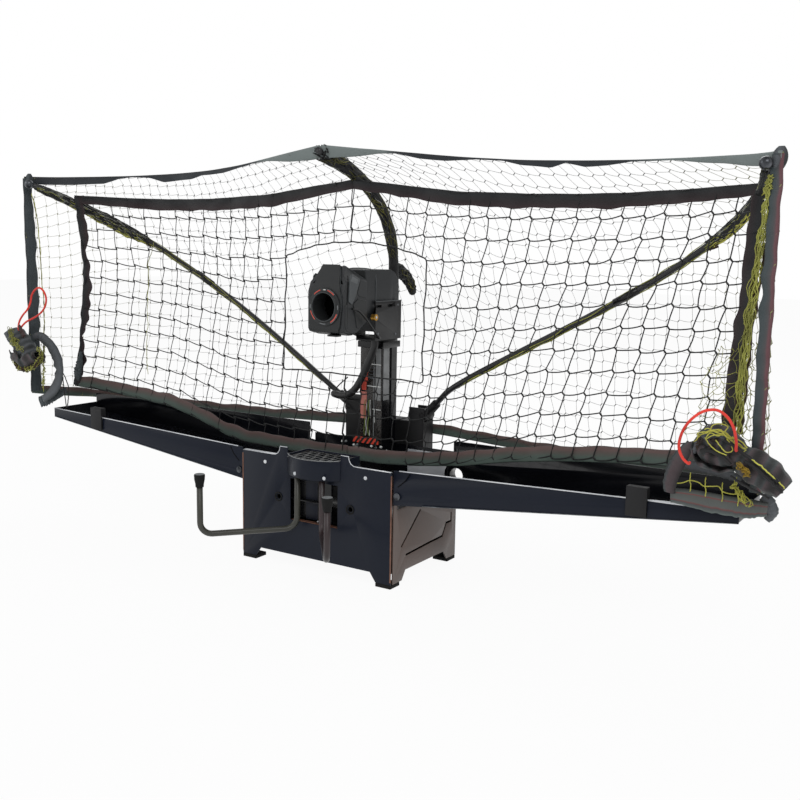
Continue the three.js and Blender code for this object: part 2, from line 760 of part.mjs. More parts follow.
// Side poles, bowed from the knuckle to the tip
const sidePoleShares = [[0.175, -0.19, 0.24], [0.915, 0.48, 0.76]];

function sidePoleCurve() {
  const start = new THREE.Vector3(pivotX, depthFrom(poleY), pivotZ).add(poleRoot);
  const end = new THREE.Vector3(poleTipX, depthFrom(poleTipY), poleTipZ);
  const span = end.clone().sub(start);
  const depth = poleY - poleTipY;
  const control = sidePoleShares.map(([x, y, z]) => new THREE.Vector3(
    start.x + x * span.x, start.y + y * depth, start.z + z * span.z));
  return new THREE.CubicBezierCurve3(start, control[0], control[1], end);
}

function sidePolePath() {
  const curve = sidePoleCurve();
  const start = curve.getPoint(0);
  const bend = start.clone().addScaledVector(curve.getTangent(0), poleStraight);
  const path = new THREE.CurvePath();
  path.add(new THREE.LineCurve3(start, bend));
  path.add(new THREE.CubicBezierCurve3(bend, curve.v1, curve.v2, curve.v3));
  return path;
}

function sidePoles() {
  const curve = sidePoleCurve();
  const direction = curve.getTangent(0);
  const start = curve.getPoint(0);
  pair('pole', tube(sidePolePath(), poleRadius, poleSteps, rodSides), 'pole');

  const along = new THREE.Quaternion().setFromUnitVectors(new THREE.Vector3(0, 1, 0), direction);
  const sleeve = rod('y', socketRadius, -axleRadius, socketLength).applyQuaternion(along);
  const bore = rod('y', poleRadius + fitGap, -fitGap, socketLength + overrun, pinSides).applyQuaternion(along);
  const width = housingDepth / 2 - earThickness - fitGap;
  const middle = [pivotX, depthFrom(poleY), pivotZ + fitGap];
  const barrel = rod('y', knuckleRadius, -width, width, barrelSides).translate(...middle);
  const axle = rod('y', axleRadius, -housingDepth / 2, housingDepth / 2, pinSides).translate(...middle);
  const sleeveSolid = solid(sleeve.translate(start.x, start.y, start.z));
  const boreSolid = solid(bore.translate(start.x, start.y, start.z));
  const body = solid(barrel).add(solid(axle)).add(sleeveSolid).subtract(boreSolid);
  pair('pole_knuckle', geometryOf(body), 'plastic');

  const end = curve.getPoint(1);
  const turned = new THREE.Quaternion().setFromUnitVectors(new THREE.Vector3(0, 1, 0), curve.getTangent(1));
  const knob = solid(new THREE.SphereGeometry(knobRadius, knobSides, knobRings));
  const hole = rod('y', poleRadius + 2 * fitGap, -2 * knobRadius, fitGap, pinSides).applyQuaternion(turned);
  pair('pole_knob', geometryOf(knob.subtract(solid(hole))).translate(end.x, end.y, end.z), 'plastic');
}

// Centre pole: an upright tube behind the column and a bowed rod over the head
const centrePoleShares = [[0.03, 0.52], [0.34, 0.83]];

function centrePole() {
  const low = housingTop - 2 * housingWall;
  const tubeSolid = solid(rod('z', centreTubeRadius, low, centreTubeTop));
  const bore = solid(rod('z', poleRadius + fitGap, centreTubeTop - socketLength, centreTubeTop + overrun, pinSides));
  const upright = geometryOf(tubeSolid.subtract(bore)).translate(0, depthFrom(centreTubeY), 0);
  piece('centre_pole_tube', upright, 'pole');

  const start = new THREE.Vector3(0, depthFrom(centreTubeY), centreTubeTop - socketLength + fitGap);
  const bend = new THREE.Vector3(0, depthFrom(centreTubeY), centreTubeTop);
  const end = new THREE.Vector3(0, depthFrom(centreTipY), centreTipZ);
  const control = centrePoleShares.map(([y, z]) => new THREE.Vector3(
    0, bend.y + y * (end.y - bend.y), bend.z + z * (end.z - bend.z)));
  const path = new THREE.CurvePath();
  path.add(new THREE.LineCurve3(start, bend));
  path.add(new THREE.CubicBezierCurve3(bend, control[0], control[1], end));
  piece('centre_pole', tube(path, poleRadius, poleSteps, rodSides), 'pole');
}

// Head: turntable, yoke, elbow housing, shell, nozzle, wheel and motor
const turntableLow = columnTop + panGap;
const yokeLow = turntableLow + turntableHeight;
const yokeFloor = yokeLow + yokePlate;

function turntable() {
  const disc = solid(rod('z', turntableRadius, turntableLow, turntableLow + turntableHeight));
  const hole = solid(rod('z', ductRadius, turntableLow - overrun, yokeLow + overrun));
  piece('turntable', geometryOf(disc.subtract(hole)).translate(0, depthFrom(columnMiddle), 0), 'plastic');
}

// Yoke: a floor with a narrow nose, and two side plates that carry the tilt pins
const yokeSlotShares = [0.02, 0.45];

function yokeFloorPlan() {
  const half = yokeHalfWidth;
  return [
    [-half, yokeBack], [-half, yokeFront + yokeLeftCut], [yokeNoseStart, yokeFront - yokeNose],
    [yokeNoseEnd, yokeFront - yokeNose], [half, yokeFront], [half, yokeBack],
  ];
}

function yokePlateOutline(cut, low) {
  const high = low + yokeRise;
  const corner = cut > 0 ? [[yokeFront + cut, low], [yokeFront, low + yokeLeftCutHeight]] : [[yokeFront, low]];
  return [...corner, [yokeFront, high], [yokeBack, high], [yokeBack, low]]
    .map(([y, z]) => [depthFrom(y), z]);
}

function yoke() {
  const half = yokeHalfWidth;
  const low = yokeLow + fitGap;
  const floor = new THREE.ExtrudeGeometry(outline(yokeFloorPlan().map(([x, y]) => [x, depthFrom(y)])),
    { depth: yokePlate, bevelEnabled: false }).translate(0, 0, low);
  let body = solid(floor);
  for (const [side, cut] of [[-1, yokeLeftCut], [1, 0]]) {
    const [x0, x1] = side > 0 ? [half - yokePlate, half] : [-half, yokePlate - half];
    const plate = sidePlate(outline(yokePlateOutline(cut, low)), x0, x1);
    const inner = side * (elbowHalfWidth - tiltPinDepth + fitGap);
    const pinEnds = [inner, side * (half + yokePlate)].sort((a, b) => a - b);
    const pin = rod('x', tiltPinRadius, pinEnds[0], pinEnds[1], pinSides);
    body = body.add(solid(plate)).add(solid(pin.translate(0, depthFrom(tiltY), tiltZ)));
    const slotTop = low + yokeRise - yokeSlotDrop;
    for (const share of yokeSlotShares) {
      const start = yokeFront + share * yokeDepth;
      const slot = block(x0 - overrun, x1 + overrun, depthFrom(start), depthFrom(start + yokeSlotLength),
        slotTop - yokeSlotHeight, slotTop);
      body = body.subtract(solid(slot));
    }
  }
  const ear = solid(rod('x', tiltKnobRadius, half - yokePlate, half))
    .add(solid(block(half - yokePlate, half, 0, yokeFront - tiltKnobY + overrun, -tiltKnobRadius, tiltKnobRadius)));
  const stud = rod('x', tiltStudRadius + fitGap, half - yokePlate - overrun, half + overrun, pinSides);
  const bored = geometryOf(ear).translate(0, depthFrom(tiltKnobY), tiltKnobZ);
  body = body.add(solid(bored)).subtract(solid(stud.translate(0, depthFrom(tiltKnobY), tiltKnobZ)));
  const hole = rod('z', ductRadius, low - overrun, low + 2 * overrun).translate(0, depthFrom(columnMiddle), 0);
  piece('yoke', geometryOf(body.subtract(solid(hole))), 'plastic');
}

function tiltKnob() {
  const face = yokeHalfWidth + fitGap;
  const grip = solid(rod('x', tiltKnobRadius, face, face + tiltKnobLength, pinSides));
  const stud = solid(rod('x', tiltStudRadius, yokeHalfWidth - yokePlate, face + overrun, pinSides));
  const place = [0, depthFrom(tiltKnobY), tiltKnobZ];
  piece('tilt_knob', geometryOf(grip.add(stud)).translate(...place), 'brass');
}

function elbow() {
  const y = depthFrom;
  const shape = new THREE.Shape();
  shape.moveTo(y(elbowFront), elbowShelf);
  shape.lineTo(y(elbowThroat), elbowShelf);
  shape.lineTo(y(elbowThroat), elbowLow);
  shape.lineTo(y(elbowBack), elbowLow);
  shape.lineTo(y(elbowBack), elbowTop - elbowRound);
  shape.absarc(y(elbowBack - elbowRound), elbowTop - elbowRound, elbowRound, 0, Math.PI / 2, false);
  shape.lineTo(y(elbowFront), elbowTop);
  shape.closePath();
  let body = solid(sidePlate(shape, -elbowHalfWidth, elbowHalfWidth, elbowSteps));
  const upright = rod('z', ductRadius, elbowLow - overrun, tiltZ).translate(0, y(tiltY), 0);
  const level = rod('y', ductRadius, y(elbowFront - overrun), y(tiltY)).translate(0, 0, tiltZ);
  const corner = new THREE.SphereGeometry(ductRadius, roundSides, roundSides / 2).rotateX(Math.PI / 2);
  corner.translate(0, y(tiltY), tiltZ);
  const duct = solid(upright).add(solid(level)).add(solid(corner));
  const pins = rod('x', tiltPinRadius + fitGap, -elbowHalfWidth - overrun, elbowHalfWidth + overrun, pinSides);
  const core = rod('x', tiltPinRadius + overrun, -elbowHalfWidth + tiltPinDepth, elbowHalfWidth - tiltPinDepth, pinSides);
  const pinHoles = solid(pins.translate(0, y(tiltY), tiltZ)).subtract(solid(core.translate(0, y(tiltY), tiltZ)));
  const hump = solid(block(elbowWall - elbowHalfWidth, elbowHalfWidth - elbowWall, y(elbowFront - overrun),
    y(elbowBack - elbowRound), tiltZ + ductRadius + elbowWall, elbowTop - elbowWall));
  body = body.subtract(duct).subtract(pinHoles).subtract(hump);
  piece('elbow_housing', geometryOf(body), 'shell');
}

function headShape(inset, front, back) {
  const shape = new THREE.Shape();
  const [y0, y1] = [depthFrom(front), depthFrom(back)];
  const [low, top, backTop] = [headLow + inset, headTop - inset, headBackTop - inset];
  const round = headRound - inset;
  shape.moveTo(y0 + round, low);
  shape.lineTo(y1, low);
  shape.lineTo(y1, backTop);
  shape.lineTo(y0 + round, top);
  shape.absarc(y0 + round, top - round, round, Math.PI / 2, Math.PI, false);
  shape.absarc(y0 + round, low + round, round, Math.PI, 1.5 * Math.PI, false);
  shape.closePath();
  return shape;
}

// Front view of the head: straight cheeks, sloped shoulders and a narrow crown
function headFrontView(inset) {
  const [half, brow, crown] = [headHalfWidth, headBrowHalf, headCrownHalf].map((size) => size - inset);
  const [low, shoulder, browZ, top] = [headLow + inset, headShoulder - inset, headBrow - inset, headTop - inset];
  const right = [[half, low], [half, shoulder], [brow, browZ], [crown, top]];
  const left = right.map(([x, z]) => [-x, z]).reverse();
  return outline([...right, ...left]);
}

const throwWheelZ = tiltZ + ballRadius - throwSqueeze + throwWheelRadius;

function head() {
  const wide = solid(sidePlate(headShape(0, headFront, headBack), -headHalfWidth, headHalfWidth, headRoundSteps));
  const outer = wide.intersect(solid(uprightPlate(headFrontView(0), depthFrom(headFront), depthFrom(headBack))));
  const room = sidePlate(headShape(headWall, headFront + headWall, headBack + overrun),
    -headHalfWidth + headWall, headHalfWidth - headWall, headRoundSteps);
  const narrow = uprightPlate(headFrontView(headWall), depthFrom(headFront), depthFrom(headBack + overrun));
  const hollow = solid(room).intersect(solid(narrow));
  const bore = rod('y', nozzleBore, depthFrom(headFront - overrun), depthFrom(headFront + 2 * headRound));
  const motorStart = throwWheelWidth / 2 + panGap;
  const boss = rod('x', motorBossRadius, motorStart + throwMotorLength + fitGap, headHalfWidth - headWall / 2, pinSides)
    .translate(0, depthFrom(throwWheelY), throwWheelZ);
  const shell = outer.subtract(hollow).add(solid(boss)).subtract(solid(bore.translate(0, 0, tiltZ)));
  piece('head_shell', geometryOf(shell), 'shell');

  const face = depthFrom(headFront - fitGap);
  const ring = solid(rod('y', nozzleRing, face - nozzleLip, face));
  const ringBore = solid(rod('y', nozzleBore, face - nozzleLip - overrun, face + overrun));
  piece('nozzle_ring', geometryOf(ring.subtract(ringBore)).translate(0, 0, tiltZ), 'plastic');

  const halfWheel = throwWheelWidth / 2;
  const axis = [0, depthFrom(throwWheelY), throwWheelZ];
  const wheel = solid(rod('x', throwWheelRadius, -halfWheel, halfWheel));
  const wheelBore = solid(rod('x', throwShaftRadius + fitGap, -halfWheel - overrun, halfWheel + overrun, pinSides));
  piece('throwing_wheel', geometryOf(wheel.subtract(wheelBore)).translate(...axis), 'foam');

  const motor = solid(rod('x', throwMotorRadius, motorStart, motorStart + throwMotorLength, roundSides));
  const shaft = solid(rod('x', throwShaftRadius, -halfWheel, halfWheel + overrun, pinSides));
  piece('throwing_motor', geometryOf(motor.add(shaft)).translate(...axis), 'steel');
}

// Nets: a lattice of cells on a surface. Each cell is a gap with its frame, or left out.
function lattice(surface, columns, rows, barShare, isOpen) {
  const spread = 1e-3;
  const pointAt = (u, v, side) => {
    const middle = surface(u, v);
    const alongU = surface(Math.min(u + spread, columns), v).sub(surface(Math.max(u - spread, 0), v));
    const alongV = surface(u, Math.min(v + spread, rows)).sub(surface(u, Math.max(v - spread, 0)));
    return middle.addScaledVector(alongU.cross(alongV).normalize(), (side * netThickness) / 2);
  };
  const positions = [];
  const quad = (a, b, c, d) => {
    for (const corner of [a, b, c, a, c, d]) positions.push(corner.x, corner.y, corner.z);
  };
  const closed = (i, j) => i >= 0 && j >= 0 && i < columns && j < rows && !isOpen(i, j);
  const wall = (from, to) => quad(
    pointAt(...from, -1), pointAt(...to, -1), pointAt(...to, 1), pointAt(...from, 1));
  for (let i = 0; i < columns; i += 1) {
    for (let j = 0; j < rows; j += 1) {
      if (!closed(i, j)) continue;
      const outer = [[i, j], [i + 1, j], [i + 1, j + 1], [i, j + 1]];
      const near = barShare;
      const far = 1 - barShare;
      const inner = [[i + near, j + near], [i + far, j + near], [i + far, j + far], [i + near, j + far]];
      const neighbours = [[i, j - 1], [i + 1, j], [i, j + 1], [i - 1, j]];
      for (let edge = 0; edge < 4; edge += 1) {
        const next = (edge + 1) % 4;
        quad(pointAt(...outer[edge], 1), pointAt(...outer[next], 1),
          pointAt(...inner[next], 1), pointAt(...inner[edge], 1));
        quad(pointAt(...outer[next], -1), pointAt(...outer[edge], -1),
          pointAt(...inner[edge], -1), pointAt(...inner[next], -1));
        wall(inner[next], inner[edge]);
        if (!closed(...neighbours[edge])) wall(outer[edge], outer[next]);
      }
    }
  }
  const geometry = new THREE.BufferGeometry();
  geometry.setAttribute('position', new THREE.Float32BufferAttribute(positions, 3));
  geometry.computeVertexNormals();
  return geometry;
}

function between(table, place) {
  const index = Math.min(Math.floor(place), table.length - 2);
  const share = place - index;
  return table[index].map((value, part) => value + share * (table[index + 1][part] - value));
}

// Outer net sections from the hem up to the top edge. The depths are shares of the reach
// behind the front panel, the heights are shares of the top, and the spans are shares of half the width.
const outerSpanShares = [0, 0.153, 0.305, 0.44, 0.573, 0.7, 0.827, 0.93, 0.972, 0.99, 1];
const outerDepthShares = [
  [0.8, 0.98, 1, 0.66, 0.34, 0.05], [0.795, 0.87, 0.88, 0.56, 0.36, 0.14],
  [0.785, 0.795, 0.79, 0.55, 0.4, 0.24], [0.755, 0.78, 0.79, 0.58, 0.44, 0.3],
  [0.72, 0.765, 0.775, 0.6, 0.46, 0.33], [0.65, 0.7, 0.715, 0.54, 0.4, 0.28],
  [0.56, 0.59, 0.59, 0.39, 0.29, 0.2], [0.475, 0.43, 0.36, 0.23, 0.17, 0.12],
  [0.45, 0.3, 0.19, 0.14, 0.1, 0.06], [0.18, 0.12, 0.08, 0.05, 0.03, 0.01],
  [0, 0, 0, 0, 0, 0],
];
const outerHeightShares = [
  [0.305, 0.45, 0.64, 0.905, 0.966, 1], [0.302, 0.43, 0.58, 0.875, 0.945, 0.985],
  [0.295, 0.42, 0.55, 0.84, 0.91, 0.97], [0.292, 0.44, 0.6, 0.83, 0.895, 0.961],
  [0.292, 0.46, 0.66, 0.835, 0.895, 0.957], [0.298, 0.49, 0.73, 0.865, 0.91, 0.953],
  [0.304, 0.52, 0.815, 0.9, 0.925, 0.951], [0.308, 0.56, 0.88, 0.92, 0.935, 0.95],
  [0.312, 0.6, 0.91, 0.925, 0.938, 0.95], [0.33, 0.61, 0.9, 0.925, 0.938, 0.95],
  [0.345, 0.62, 0.89, 0.92, 0.936, 0.95],
];
const outerRowShares = [0, 0.5, 1, 1.5, 2, 2.5, 3, 4, 5];

function outerNet() {
  const columns = outerSpanShares.length - 1;
  const rows = outerRowShares.length - 1;
  const surface = (u, v) => {
    const [rowPlace] = between(outerRowShares.map((share) => [share]), v);
    const [depth] = between(between(outerDepthShares, u).map((share) => [share]), rowPlace);
    const [height] = between(between(outerHeightShares, u).map((share) => [share]), rowPlace);
    const [span] = between(outerSpanShares.map((share) => [share]), u);
    const place = netSeam + span * (netHalfSpan - netSeam);
    return new THREE.Vector3(place, depthFrom(depth * netReach), height * netTop);
  };
  pair('outer_net', lattice(surface, columns, rows, outerBarShare, () => false), 'netGrey');
}

// Front net hems as shares: span, low depth, low height, top depth, top height
const frontNetShares = [
  [0, 0.31, 0.306, 0.34, 1], [0.5, 0.305, 0.306, 0.345, 1], [1, 0.3, 0.306, 0.36, 0.998],
  [1.5, 0.29, 0.318, 0.385, 0.995], [2, 0.285, 0.345, 0.41, 0.99], [2.5, 0.28, 0.365, 0.42, 0.988],
  [3, 0.265, 0.38, 0.4, 0.99], [3.5, 0.235, 0.392, 0.33, 0.994], [4, 0.19, 0.403, 0.22, 1],
];
const frontRowShares = [0, 0.155, 0.31, 0.485, 0.66, 0.82, 0.91, 1];
const openingColumns = 2;
const openingRows = [2, 5];
const poleSamples = 160;
const endSamples = 12;
const topHalfShare = 0.5;

// How far back the net's top corner leans until its end lies against the side pole
function leanToPole(surfaceAt, columns, rows) {
  const poleLine = sidePolePath().getSpacedPoints(poleSamples);
  const touching = poleRadius + netThickness / 2 + 5 * fitGap;
  const gapAt = (lean) => {
    const surface = surfaceAt(lean);
    let least = Infinity;
    for (let place = 0; place <= endSamples; place += 1) {
      for (let level = 0; level <= endSamples; level += 1) {
        const point = surface(columns - place / endSamples, rows * (1 - topHalfShare * (level / endSamples)));
        for (const other of poleLine) least = Math.min(least, point.distanceTo(other));
      }
    }
    return least;
  };
  let lean = 0;
  while (gapAt(lean) > touching) lean += fitGap;
  return lean - fitGap;
}

function frontNet() {
  const columns = frontNetShares.length - 1;
  const rows = frontRowShares.length - 1;
  const surfaceAt = (lean) => (u, v) => {
    const [place, lowDepth, lowHeight, topDepth, topHeight] = between(frontNetShares, u);
    const outside = (place - 1) / (frontNetShares[columns][0] - 1);
    const span = place <= 1 ? place * openingHalfWidth
      : openingHalfWidth + outside * (frontNetSpan - openingHalfWidth);
    const [rise] = between(frontRowShares.map((share) => [share]), v);
    const depth = (lowDepth + rise * (topDepth - lowDepth)) * netReach;
    const height = lowHeight + rise * (topHeight - lowHeight);
    const back = lean * rise * Math.max(0, u + 1 - columns);
    return new THREE.Vector3(span + netSeam, depthFrom(depth + back), height * frontNetTop);
  };
  const surface = surfaceAt(leanToPole(surfaceAt, columns, rows));
  const isOpen = (i, j) => i < openingColumns && j >= openingRows[0] && j < openingRows[1];
  pair('front_net', lattice(surface, columns, rows, frontBarShare, isOpen), 'netBlack');
}

// Tapered sleeve that ties the outer net to the centre pole
function netTail() {
  const length = Math.hypot(tailReach, tailDrop);
  const sleeve = new THREE.CylinderGeometry(tailEndRadius, tailStartRadius, length, pinSides);
  sleeve.translate(0, length / 2, 0).rotateX(-Math.atan2(tailDrop, tailReach));
  const start = centreTubeY + centreTubeRadius + fitGap + tailStartRadius * (tailDrop / length);
  piece('net_tail', sleeve.translate(0, depthFrom(start), centreTubeTop - tailStartRadius), 'netBlack');
}

// Rolled net ends, flat where they lie against the net's front edge
function bundle(name, width, low, high, side) {
  const back = depthFrom(0) - 2 * fitGap;
  const round = Math.min(width, high - low) / 2 - bundleBevel;
  const [x0, x1] = [-width / 2 + bundleBevel, width / 2 - bundleBevel];
  const [z0, z1] = [low + bundleBevel, high - bundleBevel];
  const shape = new THREE.Shape();
  shape.absarc(x1 - round, z0 + round, round, -Math.PI / 2, 0, false);
  shape.absarc(x1 - round, z1 - round, round, 0, Math.PI / 2, false);
  shape.absarc(x0 + round, z1 - round, round, Math.PI / 2, Math.PI, false);
  shape.absarc(x0 + round, z0 + round, round, Math.PI, 1.5 * Math.PI, false);
  shape.closePath();
  const geometry = new THREE.ExtrudeGeometry(shape, {
    depth: bundleThickness - 2 * bundleBevel, bevelEnabled: true, bevelSegments: 1,
    bevelSize: bundleBevel, bevelThickness: bundleBevel, curveSegments: bundleSteps,
  });
  geometry.rotateX(Math.PI / 2).translate(side * (bundleReach - width / 2), back - bundleBevel, 0);
  piece(name, geometry, 'fabric');
}

function bundles() {
  bundle('left_net_bundle', leftBundleWidth, leftBundleLow, leftBundleHigh, -1);
  bundle('right_net_bundle', rightBundleWidth, rightBundleLow, rightBundleHigh, 1);
}

// Routes of the cords: X, depth behind the front panel, Z
const harnessRoute = [
  [19, 165, yokeLow], [19, 165, 410], [16, 166, 401], [11, 167, 391], [5, 167, 379], [-2, 167, 365],
  [-9, 167, 350], [-17, 167, 335], [-29, 167, 319], [-44, 167, 308], [-62, 168, 304], [-78, 171, 305],
  [-87, 180, 304], [-83, 192, 300], [-71, 200, 297], [-56, 204, 297], [-41, 204, 297],
  [-columnWidth / 2 - fitGap, 204, 297],
];
const leadRoute = [
  [headHalfWidth + fitGap, 60, 484], [44, 60, 484], [48, 63, 482], [50, 71, 478], [50, 81, 471.5], [50, 91, 464],
  [50, 100, 456], [50, 109, 448], [49.5, 118, 440.5], [49, 127, 433.5], [48.7, 134, 429], [47.5, 139, 426.6], [45.5, 141, 426],
  [yokeHalfWidth + fitGap, 141, 426],
];
const leftLoopRoute = [
  [-782, -32, leftBundleHigh + fitGap], [-782, -32, 412], [-777, -32, 424], [-765, -32, 437], [-750, -32, 449],
  [-739, -32, 464], [-733, -32, 481], [-722, -31, 493], [-708, -31, 497], [-695, -31, 490], [-688, -31, 476],
  [-691, -31, 461], [-702, -31, 448], [-718, -31, 438], [-736, -32, 430], [-754, -32, 423], [-768, -32, 414],
  [-774, -32, 408], [-774, -32, leftBundleHigh + fitGap],
];
const rightLoopFace = -2 * fitGap - bundleThickness - fitGap;
const rightLoopRoute = [
  [700, rightLoopFace, 308], [700, -66, 308], [693, -71, 316], [688, -73, 330], [690, -74, 347],
  [697, -74, 363], [708, -74, 376], [722, -74, 385], [737, -74, 387], [750, -74, 380], [759, -73, 367],
  [763, -72, 353], [764, -70, 342], [763, -66, 334], [763, rightLoopFace, 334],
];

function cord(name, route, radius, steps, sides, look) {
  const points = route.map(([x, y, z]) => new THREE.Vector3(x, depthFrom(y), z));
  const curve = new THREE.CatmullRomCurve3(points, false, 'centripetal');
  piece(name, tube(curve, radius, steps, sides), look);
}

function cords() {
  cord('head_harness', harnessRoute, harnessRadius, harnessSteps, 8, 'plastic');
  cord('head_lead', leadRoute, leadRadius, leadSteps, 6, 'plastic');
  cord('left_red_loop', leftLoopRoute, redCordRadius, redCordSteps, 6, 'red');
  cord('right_red_loop', rightLoopRoute, redCordRadius, redCordSteps, 6, 'red');
}

frontPanel();
backPanel();
sidePanel();
feet();
chassis();
tray();
pot();
liftWheel();
liftMotor();
collar();
column();
rearHousing();
wings();
hookArms();
sidePoles();
centrePole();
turntable();
yoke();
tiltKnob();
elbow();
head();
outerNet();
frontNet();
netTail();
bundles();
cords();

export default robot;
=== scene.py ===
import math
import random

import bmesh
import bpy
import numpy as np
from mathutils import Matrix, Vector


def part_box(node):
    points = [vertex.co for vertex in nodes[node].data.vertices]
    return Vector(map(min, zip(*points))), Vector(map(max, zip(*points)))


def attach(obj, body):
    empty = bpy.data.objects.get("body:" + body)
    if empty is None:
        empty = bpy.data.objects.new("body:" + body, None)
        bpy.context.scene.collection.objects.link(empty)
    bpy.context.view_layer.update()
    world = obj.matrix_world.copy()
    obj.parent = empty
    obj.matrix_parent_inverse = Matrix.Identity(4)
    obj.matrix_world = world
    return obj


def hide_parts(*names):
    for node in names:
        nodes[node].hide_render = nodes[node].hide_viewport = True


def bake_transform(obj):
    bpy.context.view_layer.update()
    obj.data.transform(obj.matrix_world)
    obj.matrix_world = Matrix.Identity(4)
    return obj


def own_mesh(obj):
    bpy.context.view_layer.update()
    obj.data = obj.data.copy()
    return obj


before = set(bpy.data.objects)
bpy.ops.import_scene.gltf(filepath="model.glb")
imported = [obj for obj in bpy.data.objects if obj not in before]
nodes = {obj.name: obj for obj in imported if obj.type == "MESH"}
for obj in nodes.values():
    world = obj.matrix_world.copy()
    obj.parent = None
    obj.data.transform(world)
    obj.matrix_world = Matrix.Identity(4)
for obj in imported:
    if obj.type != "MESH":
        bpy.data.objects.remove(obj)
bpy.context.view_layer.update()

MM = 0.001
front_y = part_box("front_panel")[0].y
SIDES = (("left", -1), ("right", 1))


def at(x, depth, z):
    """A point given in millimetres: X, depth behind the front panel, height."""
    return Vector((x * MM, front_y + depth * MM, z * MM))


# Camera, fitted to the photograph
CAMERA_PLACE = Vector((1.1046, -1.5300, 0.5988))
CAMERA_AZIMUTH = math.radians(32.68)
CAMERA_PITCH = math.radians(8.67)
CAMERA_ROLL = math.radians(0.94)
CAMERA_LENS = 45.675
SENSOR_WIDTH = 36


def make_camera():
    a, e, roll = CAMERA_AZIMUTH, CAMERA_PITCH, CAMERA_ROLL
    forward = Vector((-math.sin(a) * math.cos(e), math.cos(a) * math.cos(e), -math.sin(e)))
    right = Vector((math.cos(a), math.sin(a), 0))
    up = right.cross(forward)
    across = right * math.cos(roll) + up * math.sin(roll)
    upward = up * math.cos(roll) - right * math.sin(roll)
    data = bpy.data.cameras.new("camera")
    data.lens = CAMERA_LENS
    data.sensor_width = SENSOR_WIDTH
    data.clip_end = 50
    camera = bpy.data.objects.new("camera", data)
    bpy.context.scene.collection.objects.link(camera)
    turned = Matrix((across, upward, -forward)).transposed().to_4x4()
    camera.matrix_world = Matrix.Translation(CAMERA_PLACE) @ turned
    bpy.context.scene.camera = camera


make_camera()


# Materials
def new_material(name):
    material = bpy.data.materials.new(name)
    material.use_nodes = True
    tree = material.node_tree
    return material, tree, tree.nodes["Principled BSDF"]


def colour_of(tone):
    """A linear colour from a hex string, or a grey from a number."""
    if not isinstance(tone, str):
        return (tone, tone, tone, 1)
    parts = [int(tone[i:i + 2], 16) / 255 for i in (0, 2, 4)]
    linear = [p / 12.92 if p <= 0.04045 else ((p + 0.055) / 1.055) ** 2.4 for p in parts]
    return (*linear, 1)


def set_inputs(tree, node, values):
    """Gives each named socket its value, or links it to another node's output."""
    for socket, value in values.items():
        if isinstance(value, bpy.types.NodeSocket):
            tree.links.new(value, node.inputs[socket])
        else:
            node.inputs[socket].default_value = value
    return node


def add_node(tree, kind, values=None, **settings):
    node = tree.nodes.new("ShaderNode" + kind)
    for setting, value in settings.items():
        setattr(node, setting, value)
    return set_inputs(tree, node, values or {})


def object_place(tree):
    return add_node(tree, "TexCoord").outputs["Object"]


def noise(tree, scale, detail=3, stretch=(1, 1, 1)):
    mapping = add_node(tree, "Mapping", {"Vector": object_place(tree), "Scale": stretch})
    values = {"Vector": mapping.outputs["Vector"], "Scale": scale, "Detail": detail}
    return add_node(tree, "TexNoise", values).outputs["Fac"]


def maths(tree, operation, *values):
    return add_node(tree, "Math", dict(enumerate(values)), operation=operation).outputs[0]


def ramp(tree, source, *stops):
    """Colours or greys between stops, picked by the source."""
    node = add_node(tree, "ValToRGB", {"Fac": source})
    elements = node.color_ramp.elements
    for element, (position, tone) in zip(elements, (stops[0], stops[-1])):
        element.position = position
        element.color = colour_of(tone)
    for position, tone in stops[1:-1]:
        elements.new(position).color = colour_of(tone)
    return node.outputs["Color"]


def bumped(tree, height, strength, distance):
    values = {"Height": height, "Strength": strength, "Distance": distance}
    return add_node(tree, "Bump", values).outputs["Normal"]


def surface_material(name, dark, light, rough, metallic=0.0, coat=0.0, grain=900, bump=0.15,
                     patch=14, stretch=(1, 1, 1), specular=0.5):
    """A material whose colour drifts between two tones, with worn patches in its gloss and a fine grain."""
    material, tree, shader = new_material(name)
    patches = noise(tree, patch, 4, stretch)
    set_inputs(tree, shader, {
        "Base Color": ramp(tree, patches, (0.3, dark), (0.7, light)),
        "Roughness": ramp(tree, patches, (0.25, rough[0]), (0.75, rough[1])),
        "Metallic": metallic,
        "Coat Weight": coat,
        "Coat Roughness": 0.08,
        "Specular IOR Level": specular,
        "Normal": bumped(tree, noise(tree, grain, 2, stretch), bump, 0.2 * MM),
    })
    return material


def weave_material(name, dark, light, thread=1.1, sheen=0.5, sheen_colour="8a9a94"):
    """Woven cloth: crossed waves make the threads, and a slow noise makes worn, shiny areas."""
    material, tree, shader = new_material(name)
    patches = noise(tree, 22, 5)
    place = object_place(tree)
    wave = {"Vector": place, "Scale": 1 / (thread * MM) / 6.283, "Distortion": 0.6}
    x, y, z = [add_node(tree, "TexWave", wave, bands_direction=axis).outputs["Fac"] for axis in "XYZ"]
    threads = maths(tree, "ADD", maths(tree, "ADD", x, y), z)
    set_inputs(tree, shader, {
        "Base Color": ramp(tree, patches, (0.32, dark), (0.68, light)),
        "Roughness": ramp(tree, patches, (0.3, 0.55), (0.8, 0.85)),
        "Sheen Weight": sheen,
        "Sheen Tint": colour_of(sheen_colour),
        "Normal": bumped(tree, threads, 0.35, 0.25 * MM),
    })
    return material


